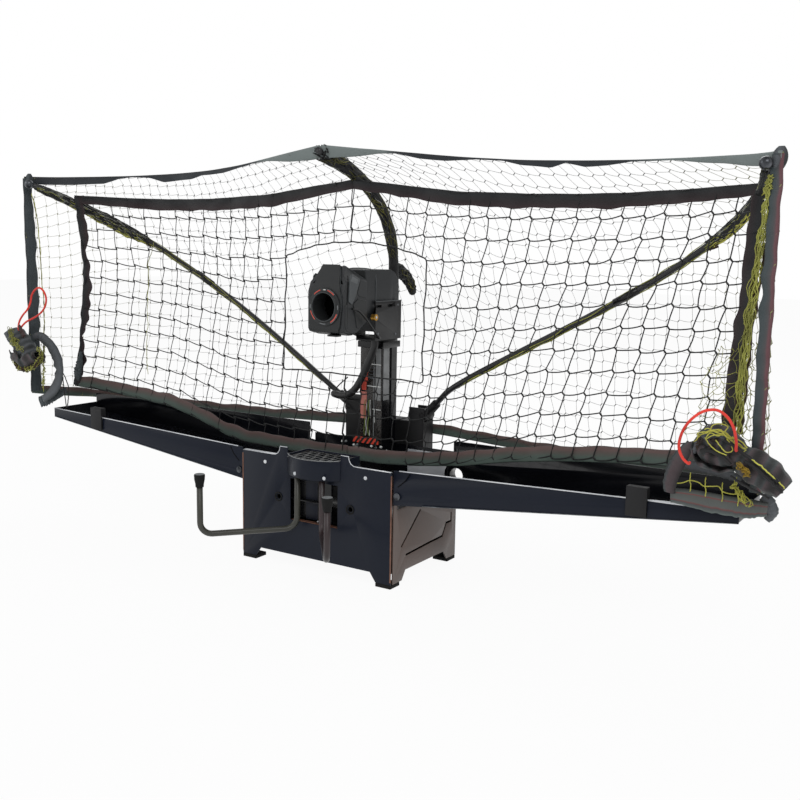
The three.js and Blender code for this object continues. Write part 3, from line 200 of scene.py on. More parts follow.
def stripe_material(name, first, second, pitch, slant):
    """Slanted warning stripes of two colours."""
    material, tree, shader = new_material(name)
    mapping = add_node(tree, "Mapping", {"Vector": object_place(tree), "Rotation": (0, slant, 0)})
    wave = add_node(tree, "TexWave", {"Vector": mapping.outputs["Vector"], "Scale": 1 / pitch / 3.1416})
    set_inputs(tree, shader, {
        "Base Color": ramp(tree, wave.outputs["Fac"], (0.45, first), (0.55, second)),
        "Roughness": 0.45,
    })
    return material


def clear_material(name, tint):
    material, tree, shader = new_material(name)
    set_inputs(tree, shader, {
        "Roughness": ramp(tree, noise(tree, 60), (0.3, 0.12), (0.7, 0.3)),
        "Base Color": colour_of(tint),
        "Transmission Weight": 0.75,
        "IOR": 1.45,
    })
    return material


def recoloured(material, colour):
    set_inputs(material.node_tree, material.node_tree.nodes["Principled BSDF"], {"Base Color": colour})
    return material


def attribute(tree, name):
    return add_node(tree, "Attribute", attribute_name=name).outputs["Fac"]


def hem_material(name, stops, sheen=0.35, paler=None):
    """Woven tape whose colour changes across its width. paler is the colour it takes where the strip says so.
    """
    material = weave_material(name, stops[0][1], stops[-1][1], 1.2, sheen, "7f8e8a")
    tree = material.node_tree
    shift = maths(tree, "MULTIPLY_ADD", noise(tree, 9, 5), 0.3, -0.15)
    colour = ramp(tree, maths(tree, "ADD", attribute(tree, "tone"), shift), *stops)
    if paler:
        values = {0: attribute(tree, "paler"), 1: colour, 2: colour_of(paler)}
        colour = add_node(tree, "MixRGB", values).outputs[0]
    return recoloured(material, colour)


def fading_net_material(name, grey_tone, yellow_tone):
    """Net yarn that turns from grey to yellow-green towards the ends of the net."""
    material = weave_material(name, grey_tone, grey_tone, 0.8, 0.2)
    tree = material.node_tree
    apart = add_node(tree, "SeparateXYZ", {0: object_place(tree)})
    reach = maths(tree, "ABSOLUTE", apart.outputs["X"])
    shift = maths(tree, "MULTIPLY_ADD", noise(tree, 7), 0.3, reach)
    return recoloured(material, ramp(tree, shift, (0.72, grey_tone), (0.9, yellow_tone)))


steel_navy = surface_material("painted_navy", "151a26", "1b202c", (0.3, 0.4), coat=0.03, bump=0.04, patch=5,
                              specular=0.16)
steel_black = surface_material("painted_black", "0a0b0f", "131419", (0.1, 0.24), coat=0.15, bump=0.04,
                               patch=7, specular=0.25)
# The side panels' brown-grey is a painted warm reflection on their steel.
side_steel_warm_reflection = surface_material("side_warm_reflection", "43352f", "695850", (0.28, 0.42), coat=0.05, bump=0.06,
                               patch=5, specular=0.3)
shell_plastic = surface_material("moulded_shell", "26282a", "323436", (0.42, 0.56), bump=0.35, grain=1400,
                                 specular=0.35)
mask_plastic = surface_material("moulded_mask", "1d1f20", "292b2c", (0.4, 0.52), bump=0.35, grain=1400,
                                specular=0.35)
# Lighter plastic of the cheeks, also used for painted highlights along the head's edges and ridges and round
# the bore's lip.
cheek_plastic_and_highlight = surface_material("moulded_cheek_and_highlight", "3c4043", "53585a", (0.3, 0.42), bump=0.2, grain=1400,
                                 specular=0.45)
dark_plastic = surface_material("moulded_dark", "161617", "212123", (0.4, 0.6), bump=0.3, grain=1300,
                                specular=0.3)
gloss_plastic = surface_material("gloss_dark", "0c0c0e", "161618", (0.18, 0.32), bump=0.08, specular=0.35)
rubber_black = surface_material("rubber", "121212", "1e1e1e", (0.7, 0.9), bump=0.5, grain=700, specular=0.25)
# Pale grey worn rubber for marks, fittings, a rail and the caps' tops, also used for a painted highlight on
# each cheek.
worn_rubber_and_glint = surface_material("worn_rubber_and_glint", "55585a", "7d8082", (0.5, 0.7), bump=0.5, grain=700)
pole_coat = surface_material("pole_coat", "17171a", "2a2a2c", (0.28, 0.42), bump=0.1, stretch=(1, 1, 3))
arm_coat = surface_material("arm_coat", "2e2e29", "45453d", (0.3, 0.45), bump=0.1)
# A darker, browner copy of the arm coat for the right arm: painted shade with a warm reflection.
arm_brown = surface_material("arm_brown", "1f191a", "3a2c2e", (0.3, 0.45), bump=0.1)
bright_steel = surface_material("bright_steel", "9a9da2", "d0d3d8", (0.2, 0.35), metallic=1.0, bump=0.08)
pin_metal = surface_material("pin_metal", "202226", "6a6d72", (0.2, 0.35), metallic=0.9, bump=0.08, patch=90)
# White steel for screws and rivets, also used for painted highlights along flanges, edges and lips, and for a
# plate of painted glare inside the base.
white_steel_and_highlight = surface_material("white_steel_and_highlight", "b8bcc2", "f0f2f5", (0.2, 0.35), metallic=0.3, bump=0.05)
rib_metal = surface_material("rib_metal", "141314", "2b2726", (0.3, 0.45), metallic=0.3, bump=0.1, patch=60)
# Grey metal for posts, screws and louvres, also used for a painted highlight under the wings' low lips.
post_metal_and_glint = surface_material("post_metal_and_glint", "3f4246", "7b7f84", (0.3, 0.45), metallic=0.5, bump=0.08,
                              patch=60)
# Pale silver for the column's strips, also used for painted highlights on the cup's rim and along the
# grille's ribs.
silver_strip_and_glint = surface_material("silver_strip_and_glint", "6d6f70", "8d8f90", (0.35, 0.5), bump=0.2, patch=60)
cable_black = surface_material("cable", "161617", "252526", (0.35, 0.5), bump=0.2)
seam_black = surface_material("seam_black", "050506", "0a0a0b", (0.6, 0.8), bump=0.05, specular=0.1)
# Near black for painted shade deep in hollows.
shade_black = surface_material("shade_black", "020202", "050505", (0.8, 0.95), bump=0.05, specular=0.05)
recess_blue = surface_material("recess_blue", "12151f", "1c2130", (0.3, 0.45), bump=0.05, specular=0.25)
# Bronze for painted warm reflections on edges and on the window's sill.
bronze_reflection = surface_material("bronze_reflection", "4a3128", "8f6450", (0.3, 0.45), metallic=0.3, bump=0.1,
                               patch=40)
net_black = weave_material("net_black", "0d0d0f", "1a191b", thread=0.9, sheen=0.1)
net_brown = weave_material("net_brown", "1f140c", "47301c", thread=0.9, sheen=0.1)
net_pale = weave_material("net_pale", "5c5d58", "a9aaa2", thread=0.8, sheen=0.2)
net_grey = fading_net_material("net_grey", "5f5f5e", "8d8c62")
net_yellow = weave_material("net_yellow", "6f7030", "b2b454", thread=0.9, sheen=0.3, sheen_colour="c8c890")
net_bright = weave_material("net_bright", "a3a03a", "d6d45e", thread=0.9, sheen=0.3, sheen_colour="d8d890")
net_olive = weave_material("net_olive", "4c4a22", "83803c", thread=0.9, sheen=0.2)
net_ochre = weave_material("net_ochre", "6f5a10", "b08d1e", thread=0.9, sheen=0.2)
hem_front = hem_material("hem_front", [(0, "0d0f12"), (0.35, "15181b"), (0.55, "1c1316"), (0.9, "2b191d")],
                         0.1)
hem_low = hem_material("hem_low", [(0, "222624"), (0.1, "45534c"), (0.42, "45534c"), (0.55, "4f4a45"),
                                   (0.68, "5a4643"), (0.95, "5a4643"), (1, "2c2423")])
hem_top = hem_material("hem_top", [(0, "1d2024"), (0.4, "24282d"), (0.9, "2b2f35")], 0.2, "77807f")
hem_left = hem_material("hem_left", [(0, "25292c"), (0.3, "3a4246"), (0.9, "33393d")], 0.3)
hem_right = hem_material("hem_right", [(0, "5d3c41"), (0.25, "6a464b"), (0.42, "4a4a4c"), (0.55, "3f484b"),
                                       (0.95, "3a4346")], 0.3)
hem_trough = hem_material("hem_trough", [(0, "1c1e1e"), (0.14, "474b4a"), (0.3, "5a5f5c"), (0.36, "7a4242"),
                                         (0.42, "595c59"), (0.6, "5c605e"), (0.66, "6f4343"),
                                         (0.74, "4b4f4f"), (0.95, "5d6664")])
hem_rolled = hem_material("hem_rolled", [(0, "1d191a"), (0.35, "41373a"), (0.6, "4e4245"), (0.8, "3f4345"),
                                         (1, "202223")])
hem_slate = hem_material("hem_slate", [(0, "33373a"), (0.4, "565a5f"), (0.7, "4a4c50"), (1, "2a2c2e")])
hem_dark = weave_material("hem_dark", "2a1a1c", "4a2c2c", thread=1.2)
red_fabric = weave_material("red_cord", "c8281f", "ff4a3c", thread=1.0, sheen=0.3, sheen_colour="ff9a8a")
foam_red = surface_material("foam", "5f2016", "8a3326", (0.8, 0.95), bump=0.6, grain=500)
red_paint = surface_material("red_paint", "b8382c", "e2604e", (0.35, 0.55), bump=0.15)
red_faded = surface_material("red_faded", "a8564c", "d88a7e", (0.4, 0.6), bump=0.1)
white_paint = surface_material("white_paint", "b8bab8", "e4e6e4", (0.35, 0.5), bump=0.1)
wire_green = surface_material("wire_green", "4a5b2f", "7c8a4a", (0.4, 0.6), bump=0.1)
hazard_paint = stripe_material("hazard", "d9452f", "141414", 9 * MM, math.radians(-38))
clear_plastic = clear_material("clear_plastic", "5a5552")
smoke_plastic = clear_material("smoke_plastic", "5c6064")


# Floor, backdrop and lights
def either_ray(tree, first, second):
    """1 for rays of either kind, otherwise 0."""
    ray = add_node(tree, "LightPath")
    return maths(tree, "MAXIMUM", ray.outputs[first], ray.outputs[second])


def make_stage():
    mesh = bpy.data.meshes.new("floor")
    half = 12
    corners = [(-half, -half, 0), (half, -half, 0), (half, half, 0), (-half, half, 0)]
    mesh.from_pydata(corners, [], [(0, 1, 2, 3)])
    floor = bpy.data.objects.new("floor", mesh)
    floor.location.z = -0.2 * MM
    bpy.context.scene.collection.objects.link(floor)
    material, tree, shader = new_material("pale_floor")
    set_inputs(tree, shader, {"Base Color": colour_of(0.9), "Roughness": 0.9})
    white = add_node(tree, "Emission")
    share = maths(tree, "MULTIPLY", either_ray(tree, "Is Camera Ray", "Is Glossy Ray"), 0.94)
    mix = add_node(tree, "MixShader", {"Fac": share, 1: shader.outputs["BSDF"], 2: white.outputs["Emission"]})
    set_inputs(tree, tree.nodes["Material Output"], {"Surface": mix.outputs[0]})
    mesh.materials.append(material)


def make_world():
    world = bpy.data.worlds.new("studio")
    bpy.context.scene.world = world
    world.use_nodes = True
    tree = world.node_tree
    lit = set_inputs(tree, tree.nodes["Background"], {"Color": colour_of(1), "Strength": 0.55})
    shown = add_node(tree, "Background", {"Color": colour_of(1)})
    share = either_ray(tree, "Is Camera Ray", "Is Transmission Ray")
    mix = add_node(tree, "MixShader", {"Fac": share, 1: lit.outputs[0], 2: shown.outputs[0]})
    set_inputs(tree, tree.nodes["World Output"], {"Surface": mix.outputs[0]})
    bpy.context.scene.view_settings.view_transform = "Standard"


LAMPS = (
    ("key_light", (2.4, -2.6, 3.0), 46, 2.2),
    ("fill_light", (-2.8, -2.2, 1.8), 20, 2.4),
    ("rim_light", (-0.6, 3.0, 2.6), 30, 2.0),
)


def make_lamps():
    target = Vector((0, 0, 0.35))
    for name, place, power, size in LAMPS:
        data = bpy.data.lights.new(name, "AREA")
        data.energy = power
        data.size = size
        lamp = bpy.data.objects.new(name, data)
        bpy.context.scene.collection.objects.link(lamp)
        lamp.location = place
        lamp.rotation_mode = "QUATERNION"
        lamp.rotation_quaternion = (target - Vector(place)).to_track_quat("-Z", "Y")


make_stage()
make_world()
make_lamps()


# Mesh helpers
def add_piece(name, points, faces, material, body=None, slot=None, smooth=True):
    mesh = bpy.data.meshes.new(name)
    mesh.from_pydata([tuple(p) for p in points], [], faces)
    mesh.validate()
    mesh.polygons.foreach_set("use_smooth", [smooth] * len(mesh.polygons))
    mesh.update()
    obj = bpy.data.objects.new(name, mesh)
    bpy.context.scene.collection.objects.link(obj)
    mesh.materials.append(material)
    if body:
        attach(obj, body)
    return obj


def placed(spots):
    """Points from places given as X, depth and height in millimetres."""
    return [at(*spot) for spot in spots]


def frames_along(points):
    """Tangent, side and up directions along a line, turned as little as possible."""
    points = np.asarray(points, float)
    tangents = np.gradient(points, axis=0)
    tangents /= np.linalg.norm(tangents, axis=1)[:, None]
    first = np.array([0, 0, 1.0]) if abs(tangents[0][2]) < 0.9 else np.array([1.0, 0, 0])
    side = np.cross(tangents[0], first)
    side /= np.linalg.norm(side)
    sides = [side]
    for tangent in tangents[1:]:
        side = side - tangent * np.dot(side, tangent)
        side /= np.linalg.norm(side)
        sides.append(side)
    sides = np.array(sides)
    return tangents, sides, np.cross(tangents, sides)


def ring_faces(rings, count):
    """Faces between rings of points, with a cap at each end."""
    faces = []
    for ring in range(rings - 1):
        a, b = ring * count, (ring + 1) * count
        for side in range(count):
            after = (side + 1) % count
            faces.append((a + side, a + after, b + after, b + side))
    faces.append(tuple(reversed(range(count))))
    faces.append(tuple((rings - 1) * count + side for side in range(count)))
    return faces


def tube_data(points, radius, sides):
    """A round tube. The radius is one number, or one for each point."""
    points = np.asarray([tuple(p) for p in points], float)
    radii = np.broadcast_to(np.asarray(radius, float), (len(points),))
    _, across, up = frames_along(points)
    angles = np.arange(sides) * 2 * math.pi / sides
    rings = (points[:, None]
             + radii[:, None, None] * (np.cos(angles)[None, :, None] * across[:, None]
                                       + np.sin(angles)[None, :, None] * up[:, None]))
    return rings.reshape(-1, 3), ring_faces(len(points), sides)


def joined(parts):
    """One set of points and faces from several."""
    points, faces, count = [], [], 0
    for part_points, part_faces in parts:
        points.extend(map(tuple, part_points))
        faces.extend(tuple(count + corner for corner in face) for face in part_faces)
        count += len(part_points)
    return points, faces


def smooth_path(points, steps=8):
    """A centripetal curve through the points."""
    given = [Vector(p) for p in points]
    ends = [2 * given[0] - given[1], *given, 2 * given[-1] - given[-2]]
    path = []
    for a, b, c, d in zip(ends, ends[1:], ends[2:], ends[3:]):
        t1 = (b - a).length ** 0.5
        t2 = t1 + (c - b).length ** 0.5
        t3 = t2 + (d - c).length ** 0.5
        for step in range(steps):
            t = t1 + (t2 - t1) * step / steps
            ab = a.lerp(b, t / t1)
            bc = b.lerp(c, (t - t1) / (t2 - t1))
            cd = c.lerp(d, (t - t2) / (t3 - t2))
            abc = ab.lerp(bc, t / t2)
            bcd = bc.lerp(cd, (t - t1) / (t3 - t1))
            path.append(abc.lerp(bcd, (t - t1) / (t2 - t1)))
    path.append(given[-1])
    return path


def tube(name, points, radius, material, body, slot, sides):
    return add_piece(name, *tube_data(points, radius, sides), material, body, slot)


def lathe_data(profile, place, axis, sides):
    """A turned shape. The profile is pairs of distance along the axis and radius, from end to end."""
    turn = Vector((0, 0, 1)).rotation_difference(Vector(axis).normalized())
    points = []
    for along, radius in profile:
        for side in range(sides):
            angle = 2 * math.pi * side / sides
            spot = Vector((radius * math.cos(angle), radius * math.sin(angle), along)) * MM
            points.append(Vector(place) + turn @ spot)
    return points, ring_faces(len(profile), sides)


def lathe(name, profile, place, axis, material, body, slot, sides=32):
    return add_piece(name, *lathe_data(profile, place, axis, sides), material, body, slot)


def box_data(low, high):
    points = [Vector((x, y, z)) for z in (low[2], high[2]) for y in (low[1], high[1])
              for x in (low[0], high[0])]
    faces = [(0, 2, 3, 1), (4, 5, 7, 6), (0, 1, 5, 4), (2, 6, 7, 3), (0, 4, 6, 2), (1, 3, 7, 5)]
    return points, faces


def plate_data(outline, thickness, spot):
    """An outline of flat points, thickened. spot(a, b, c) gives the place in space."""
    count = len(outline)
    points = [spot(a, b, 0) for a, b in outline] + [spot(a, b, thickness) for a, b in outline]
    faces = [tuple(reversed(range(count))), tuple(range(count, 2 * count))]
    for i in range(count):
        after = (i + 1) % count
        faces.append((i, after, count + after, count + i))
    return points, faces


def outward(obj):
    """Turns every face of a closed piece outwards."""
    work = bmesh.new()
    work.from_mesh(obj.data)
    bmesh.ops.recalc_face_normals(work, faces=work.faces)
    work.to_mesh(obj.data)
    work.free()
    return obj


def soften(obj, width, segments=2, angle=35):
    """A small round on the hard edges, with flat faces left flat."""
    bevel = obj.modifiers.new("round", "BEVEL")
    bevel.width = width * MM
    bevel.segments = segments
    bevel.limit_method = "ANGLE"
    bevel.angle_limit = math.radians(angle)
    bevel.harden_normals = True
    return obj


def block(name, low, high, material, body="base", slot="painted_steel", rounding=0.3):
    """A box with softened edges between two places in millimetres."""
    obj = add_piece(name, *box_data(at(*low), at(*high)), material, body, slot)
    return soften(outward(obj), rounding)


def wobble(length, seed, waves=5, least=1.0, most=6.0):
    """A smooth random line of numbers between about -1 and 1."""
    draw = random.Random(seed)
    t = np.linspace(0, 1, length)
    total = np.zeros(length)
    for _ in range(waves):
        total += math.sqrt(1 / waves) * np.sin(
            2 * math.pi * (draw.uniform(least, most) * t + draw.random()))
    return total


def refined(obj, width, segments, angle=32):
    """Merges the flat facets of a solid and rounds its edges."""
    weld = obj.modifiers.new("weld", "WELD")
    weld.merge_threshold = 0.01 * MM
    flatten = obj.modifiers.new("flatten", "DECIMATE")
    flatten.decimate_type = "DISSOLVE"
    flatten.angle_limit = math.radians(0.6)
    return soften(obj, width, segments, angle)


def carved(name, first, steps, material, body, width, segments):
    """A solid cut from a first shape. Steps are pairs of a boolean operation and another shape."""
    obj = outward(add_piece(name, *first, material))
    for operation, data in steps:
        tool = outward(add_piece(name + "_tool", *data, material))
        cut = obj.modifiers.new("cut", "BOOLEAN")
        cut.operation = operation
        cut.object = tool
        cut.solver = "EXACT"
        graph = bpy.context.evaluated_depsgraph_get()
        obj.data = bpy.data.meshes.new_from_object(obj.evaluated_get(graph))
        obj.modifiers.clear()
        bpy.data.objects.remove(tool)
    obj.data.polygons.foreach_set("use_smooth", [True] * len(obj.data.polygons))
    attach(obj, body)
    return refined(obj, width, segments, 28)


def front_prism(outline, near, far):
    """An outline of X and height, thick in depth."""
    return plate_data(outline, far - near, lambda a, b, c: at(a, near + c, b))


def side_prism(outline, near, far):
    """An outline of depth and height, thick in X."""
    return plate_data(outline, far - near, lambda a, b, c: at(near + c, a, b))


def set_tone(obj, values):
    """Stores the place across a strip, from 0 at its outer edge to 1 at its inner one, for its material."""
    layer = obj.data.attributes.new("tone", "FLOAT", "POINT")
    layer.data.foreach_set("value", np.asarray(values, np.float32))
    return obj


# Cords: the routes repeat the part's own
HARNESS_ROUTE = (
    (19, 165, 420.5), (19, 165, 410), (16, 166, 401), (11, 167, 391), (5, 167, 379), (-2, 167, 365),
    (-9, 167, 350), (-17, 167, 335), (-29, 167, 319), (-44, 167, 308), (-62, 168, 304), (-78, 171, 305),
    (-87, 180, 304), (-83, 192, 300), (-71, 200, 297), (-56, 204, 297), (-41, 204, 297), (-25.3, 204, 297),
)
LEAD_ROUTE = (
    (40.3, 60, 484), (44, 60, 484), (48, 63, 482), (50, 71, 478), (50, 81, 471.5), (50, 91, 464),
    (50, 100, 456), (50, 109, 448), (49.5, 118, 440.5), (49, 127, 433.5), (48.7, 134, 429),
    (47.5, 139, 426.6), (45.5, 141, 426), (43.3, 141, 426),
)
LEFT_LOOP_ROUTE = (
    (-782, -32, 402.3), (-782, -32, 412), (-777, -32, 424), (-765, -32, 437), (-750, -32, 449),
    (-739, -32, 464), (-733, -32, 481), (-722, -31, 493), (-708, -31, 497), (-695, -31, 490),
    (-688, -31, 476), (-691, -31, 461), (-702, -31, 448), (-718, -31, 438), (-736, -32, 430),
    (-754, -32, 423), (-768, -32, 414), (-774, -32, 408), (-774, -32, 402.3),
)
RIGHT_LOOP_ROUTE = (
    (700, -58.9, 308), (700, -66, 308), (693, -71, 316), (688, -73, 330), (690, -74, 347), (697, -74, 363),
    (708, -74, 376), (722, -74, 385), (737, -74, 387), (750, -74, 380), (759, -73, 367), (763, -72, 353),
    (764, -70, 342), (763, -66, 334), (763, -58.9, 334),
)
HARNESS_RADIUS = 7
LEAD_RADIUS = 2
RED_RADIUS = 2
CORD_SIDES = 14


def gathered(obj):
    """Gives the piece its own copy of its mesh."""
    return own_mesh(obj)


def held_cord(name, node, route, radius, material, slot):
    """A cord that the object holds at both ends."""
    path = smooth_path(placed(route))
    obj = add_piece(name, *tube_data(path, radius * MM, CORD_SIDES), material, None, slot)
    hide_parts(node)
    return obj


def make_cords():
    harness = held_cord("harness_sleeve", "head_harness", HARNESS_ROUTE, HARNESS_RADIUS, cable_black,
                        "cable")
    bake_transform(harness)
    lead = held_cord("lead_wire", "head_lead", LEAD_ROUTE, LEAD_RADIUS, cable_black, "cable")
    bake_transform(lead)
    for side, route in (("left", LEFT_LOOP_ROUTE), ("right", RIGHT_LOOP_ROUTE)):
        loop = held_cord(f"{side}_red_cord", f"{side}_red_loop", route, RED_RADIUS, red_fabric, "red_cord")
        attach(loop, "base")
        gathered(loop)


make_cords()


# Materials of the solids that stay
KEPT = (
    (steel_navy, ("front_panel", "collar_cup", "wing_front_wall")),
    (steel_black, ("back_panel", "chassis_plate", "wing_back_wall", "wing_floor")),
    # The side panels are shown in a painted warm reflection.
    (side_steel_warm_reflection, ("side_panel",)),
    (dark_plastic, ("lift_pot", "rear_housing", "wing_clip", "yoke", "turntable", "pole_knuckle")),
    (rib_metal, ("collar_grille",)),
    (gloss_plastic, ("column_channel", "ball_tray", "column_collar")),
    (clear_plastic, ("column_cover",)),
    (rubber_black, ("front_foot", "rear_foot", "lift_wheel")),
    (bright_steel, ("lift_motor", "throwing_motor")),
    (pin_metal, ("hinge_pin",)),
    (shell_plastic, ("elbow_housing",)),
    (foam_red, ("throwing_wheel",)),
    (pole_coat, ("centre_pole_tube",)),
)


def dress_solids():
    wanted = {name: material for material, names in KEPT for name in names}
    for name, obj in nodes.items():
        plain = name.removeprefix("left_").removeprefix("right_")
        if plain not in wanted:
            continue
        obj.data.materials.clear()
        obj.data.materials.append(wanted[plain])
        obj.data.polygons.foreach_set("use_smooth", [True] * len(obj.data.polygons))
        refined(obj, 0.5, 2)


dress_solids()


# Screws and grommets of the base, painted highlights and reflections along edges and lips of the base and the
# wings, and plates of painted shade and glare inside the base
FORWARD = (0, -1, 0)
GROMMET_PROFILE = ((-2.5, 4.5), (0, 9), (1.2, 8.6), (1.6, 7.6), (1.2, 6.6), (-1.5, 6.2), (-2.5, 4))
SHOULDER_HIGHLIGHT = ((61, 227.2), (78, 227), (79.6, 219.5), (83.2, 214), (89, 210.8), (97, 210.2), (168, 210.2))
CUP_RIM_RADII = (78.3, 78.1)
CUP_RIM_ARC = 0.86
CUP_RIM_HEIGHT = 216.3
CUP_MIDDLE = 50.3
GRILLE_HEIGHT = 213.4
# Plates in and behind the window. The dark plate on the window's left is painted shade, the sill's bronze is
# a painted reflection, and the white plate on the back panel's inside is painted glare that shows over the
# front panel's top edge.
INNER_PLATES = (
    ("window_shade_plate", (-82, 23, 92), (-34, 24.5, 168), gloss_plastic),
    ("window_inner_panel", (-33, 20, 92), (-4, 22, 168), recess_blue),
    ("window_inner_frame", (-3, 16, 90), (0.5, 30, 170), gloss_plastic),
    ("window_post", (5, 18, 90), (9, 24, 170), post_metal_and_glint),
    ("window_side_plate", (13, 14, 90), (30, 20, 168), steel_black),
    ("window_sill", (-53.5, 2.2, 90.4), (53.5, 12, 92), bronze_reflection),
    ("back_glare_plate", (62, 221, 136), (164, 222.5, 204), white_steel_and_highlight),
)


def screw(name, x, depth, z, axis, radius, material, body):
    """A domed screw head whose seat is at the given place."""
    dome = [(radius * 0.45 * math.sin(a), radius * math.cos(a)) for a in np.linspace(0, 1.4, 7)]
    return lathe(name, [(-0.6, radius), *dome], at(x, depth, z), axis, material, body, "steel", 20)


def make_base_trim():
    for side, sign in SIDES:
        screw(f"{side}_panel_screw", sign * 114.5, 0, 193, FORWARD, 3.6, white_steel_and_highlight, "base")
        lathe(f"{side}_port_grommet", GROMMET_PROFILE, at(sign * 82, 0, 131), FORWARD, rubber_black, "base",
              "rubber")
        screw(f"{side}_cup_screw", sign * 33 + 9, -24.5, 187, FORWARD, 3.4, white_steel_and_highlight, "base")
        # Painted highlights: a white strip along each top flange and a white line along each shoulder of the
        # front panel.
        middle, far = sign * 118, 9 if sign < 0 else 4
        block(f"{side}_lit_flange", (middle - 50, 0.4, 209.4), (middle + 50, far, 210.6), white_steel_and_highlight)
        shoulder = [at(sign * x, -0.1, z) for x, z in SHOULDER_HIGHLIGHT]
        tube(f"{side}_shoulder_highlight", shoulder, 0.8 * MM, white_steel_and_highlight, "base", "painted_steel", 8)
        # A bronze strip down each outer corner: a painted warm reflection.
        corner = sign * 169.2
        block(f"{side}_bronze_lit_edge", (corner - 1.2, -0.35, 12), (corner + 1.2, 1, 204), bronze_reflection)
    for name, low, high, material in INNER_PLATES:
        block(name, low, high, material, rounding=0.5)
    for index, x in enumerate((1, 7, 13, 20)):
        screw(f"tray_rivet_{index + 1}", x, 12, 93.5, (0, -0.6, 0.8), 1.6, white_steel_and_highlight, "base")
    # Painted highlights: a pale line along the cup's rim and thin glints along the grille's ribs.
    wide, long = CUP_RIM_RADII
    rim = [at(wide * math.sin(a), CUP_MIDDLE - long * math.cos(a), CUP_RIM_HEIGHT)
           for a in np.linspace(-CUP_RIM_ARC, CUP_RIM_ARC, 30)]
    tube("cup_rim_highlight", rim, 0.9 * MM, silver_strip_and_glint, "base", "steel", 8)
    for index, x in enumerate(np.linspace(-46, 46, 9)):
        glint = [at(x - 6 + reach * 11, -27 + reach * 84 - 0.2 * abs(x) * (1 - reach), GRILLE_HEIGHT)
                 for reach in (0.1 + 0.003 * abs(x), 0.5, 0.98)]
        tube(f"grille_glint_{index + 1}", glint, 0.6 * MM, silver_strip_and_glint, "base", "steel", 6)


make_base_trim()

WING_START = 172
WING_END = 750
WING_LOW_HEIGHTS = (152, 208)
WING_TOP_HEIGHTS = (214, 228)
WING_SEAM = ((204, 211), (199, 204), (196, 199), (186, 190), (181, 186))


def wing_edge(sign, share, top):
    """A place on the front wall's top or bottom edge."""
    start, end = WING_TOP_HEIGHTS if top else WING_LOW_HEIGHTS
    x = WING_START + share * (WING_END - WING_START)
    return sign * x, 2.3 + share * 26.7, start + share * (end - start)


def make_wing_trim():
    for side, sign in SIDES:
        body = f"{side}_wing"
        # Painted highlights: a white line along each wing's top lip and a grey line under its low lip.
        for name, top, first, last, lift, ahead, radius, material in (
                ("top_lip_highlight", True, 0.02, 0.995, 0.2, -0.4, 1.0, white_steel_and_highlight),
                ("low_lip_highlight", False, 0.1, 0.995, 1.2, -0.9, 0.7, post_metal_and_glint)):
            line = []
            for share in np.linspace(first, last, 24):
                x, depth, z = wing_edge(sign, share, top)
                line.append(at(x, depth + ahead, z + lift))
            if sign > 0 and top:
                radius = np.interp(np.linspace(0, 1, 24), (0, 0.76, 0.8), (1, 1, 2.1))
            tube(f"{side}_{name}", line, radius * MM, material, body, "painted_steel", 8)
        seam = []
        for x, z in WING_SEAM:
            share = (x - WING_START) / (WING_END - WING_START)
            seam.append(at(sign * x, wing_edge(sign, share, True)[1] - 0.3, z))
        tube(f"{side}_wing_seam", seam, 0.8 * MM, seam_black, body, "painted_steel", 8)


make_wing_trim()


# Hook arms, their caps, and the poles
POLE_RADIUS = 5.5
SLEEVE_RADIUS = 7
KNOB_RADIUS = 9.5
ARM_RADIUS = 5.5
ARM_LOW = 82
ARM_HIGH = 196
ARM_BEND = 22
ARM_REACH = 176
ARM_END = 180
ARM_TURN = math.radians(40)
CAP_SEAT = 169
CAP_PROFILE = ((0, 5.8), (0, 7.2), (6, 7.6), (13, 9.2), (18, 9.5), (19, 9.7), (22, 9.7), (23, 9.2),
               (23.2, 7.5), (22.6, 6.5))
CAP_TOP_PROFILE = ((23.0, 9.0), (23.5, 8.6), (23.6, 6.8), (23.1, 6.6))


def arm_path():
    """The bent rod from its top under the collar to its end, as reach and height."""
    low, bend, reach = ARM_LOW, ARM_BEND, ARM_REACH
    turns = np.linspace(0.15, 1.42, 7)
    path = [(0, ARM_HIGH), (0, low + bend)]
    path += [(-bend * (1 - math.cos(t)), low + bend - bend * math.sin(t)) for t in turns]
    path += [(-bend, low), (bend - reach, low)]
    path += [(bend - reach - bend * math.sin(t), low + bend - bend * math.cos(t)) for t in turns]
    return path + [(-reach, low + bend), (-reach, ARM_END)]


def make_arms():
    # The right arm wears a darker, browner copy of the left arm's coat: painted shade with a warm reflection.
    for (side, sign), coat in zip(SIDES, (arm_coat, arm_brown)):
        def spot(y, z):
            return at(sign * (28 - y * math.sin(ARM_TURN)), -12 + y * math.cos(ARM_TURN), z)

        body, up = f"{side}_arm", (0, 0, 1)
        arm = tube(f"{side}_arm_rod", [spot(y, z) for y, z in arm_path()], ARM_RADIUS * MM, coat, body,
                   "pole_tube", 20)
        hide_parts(f"{side}_hook_arm")
        seat = spot(-ARM_REACH, CAP_SEAT)
        cap = lathe(f"{side}_rubber_cap", CAP_PROFILE, seat, up, rubber_black, body, "rubber")
        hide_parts(f"{side}_arm_cap")
        lathe(f"{side}_cap_top", CAP_TOP_PROFILE, seat, up, worn_rubber_and_glint, body, "rubber")


make_arms()

SIDE_POLE_SHARES = ((0.175, -0.19, 0.24), (0.915, 0.48, 0.76))
CENTRE_POLE_SHARES = ((0.03, 0.52), (0.34, 0.83))
POLE_START = (92, 246.3, 275)
POLE_TIP = (762, -6, 715)
POLE_STRAIGHT = 68
CENTRE_START = (0, 256, 560)
CENTRE_TIP = (0, 8, 760)


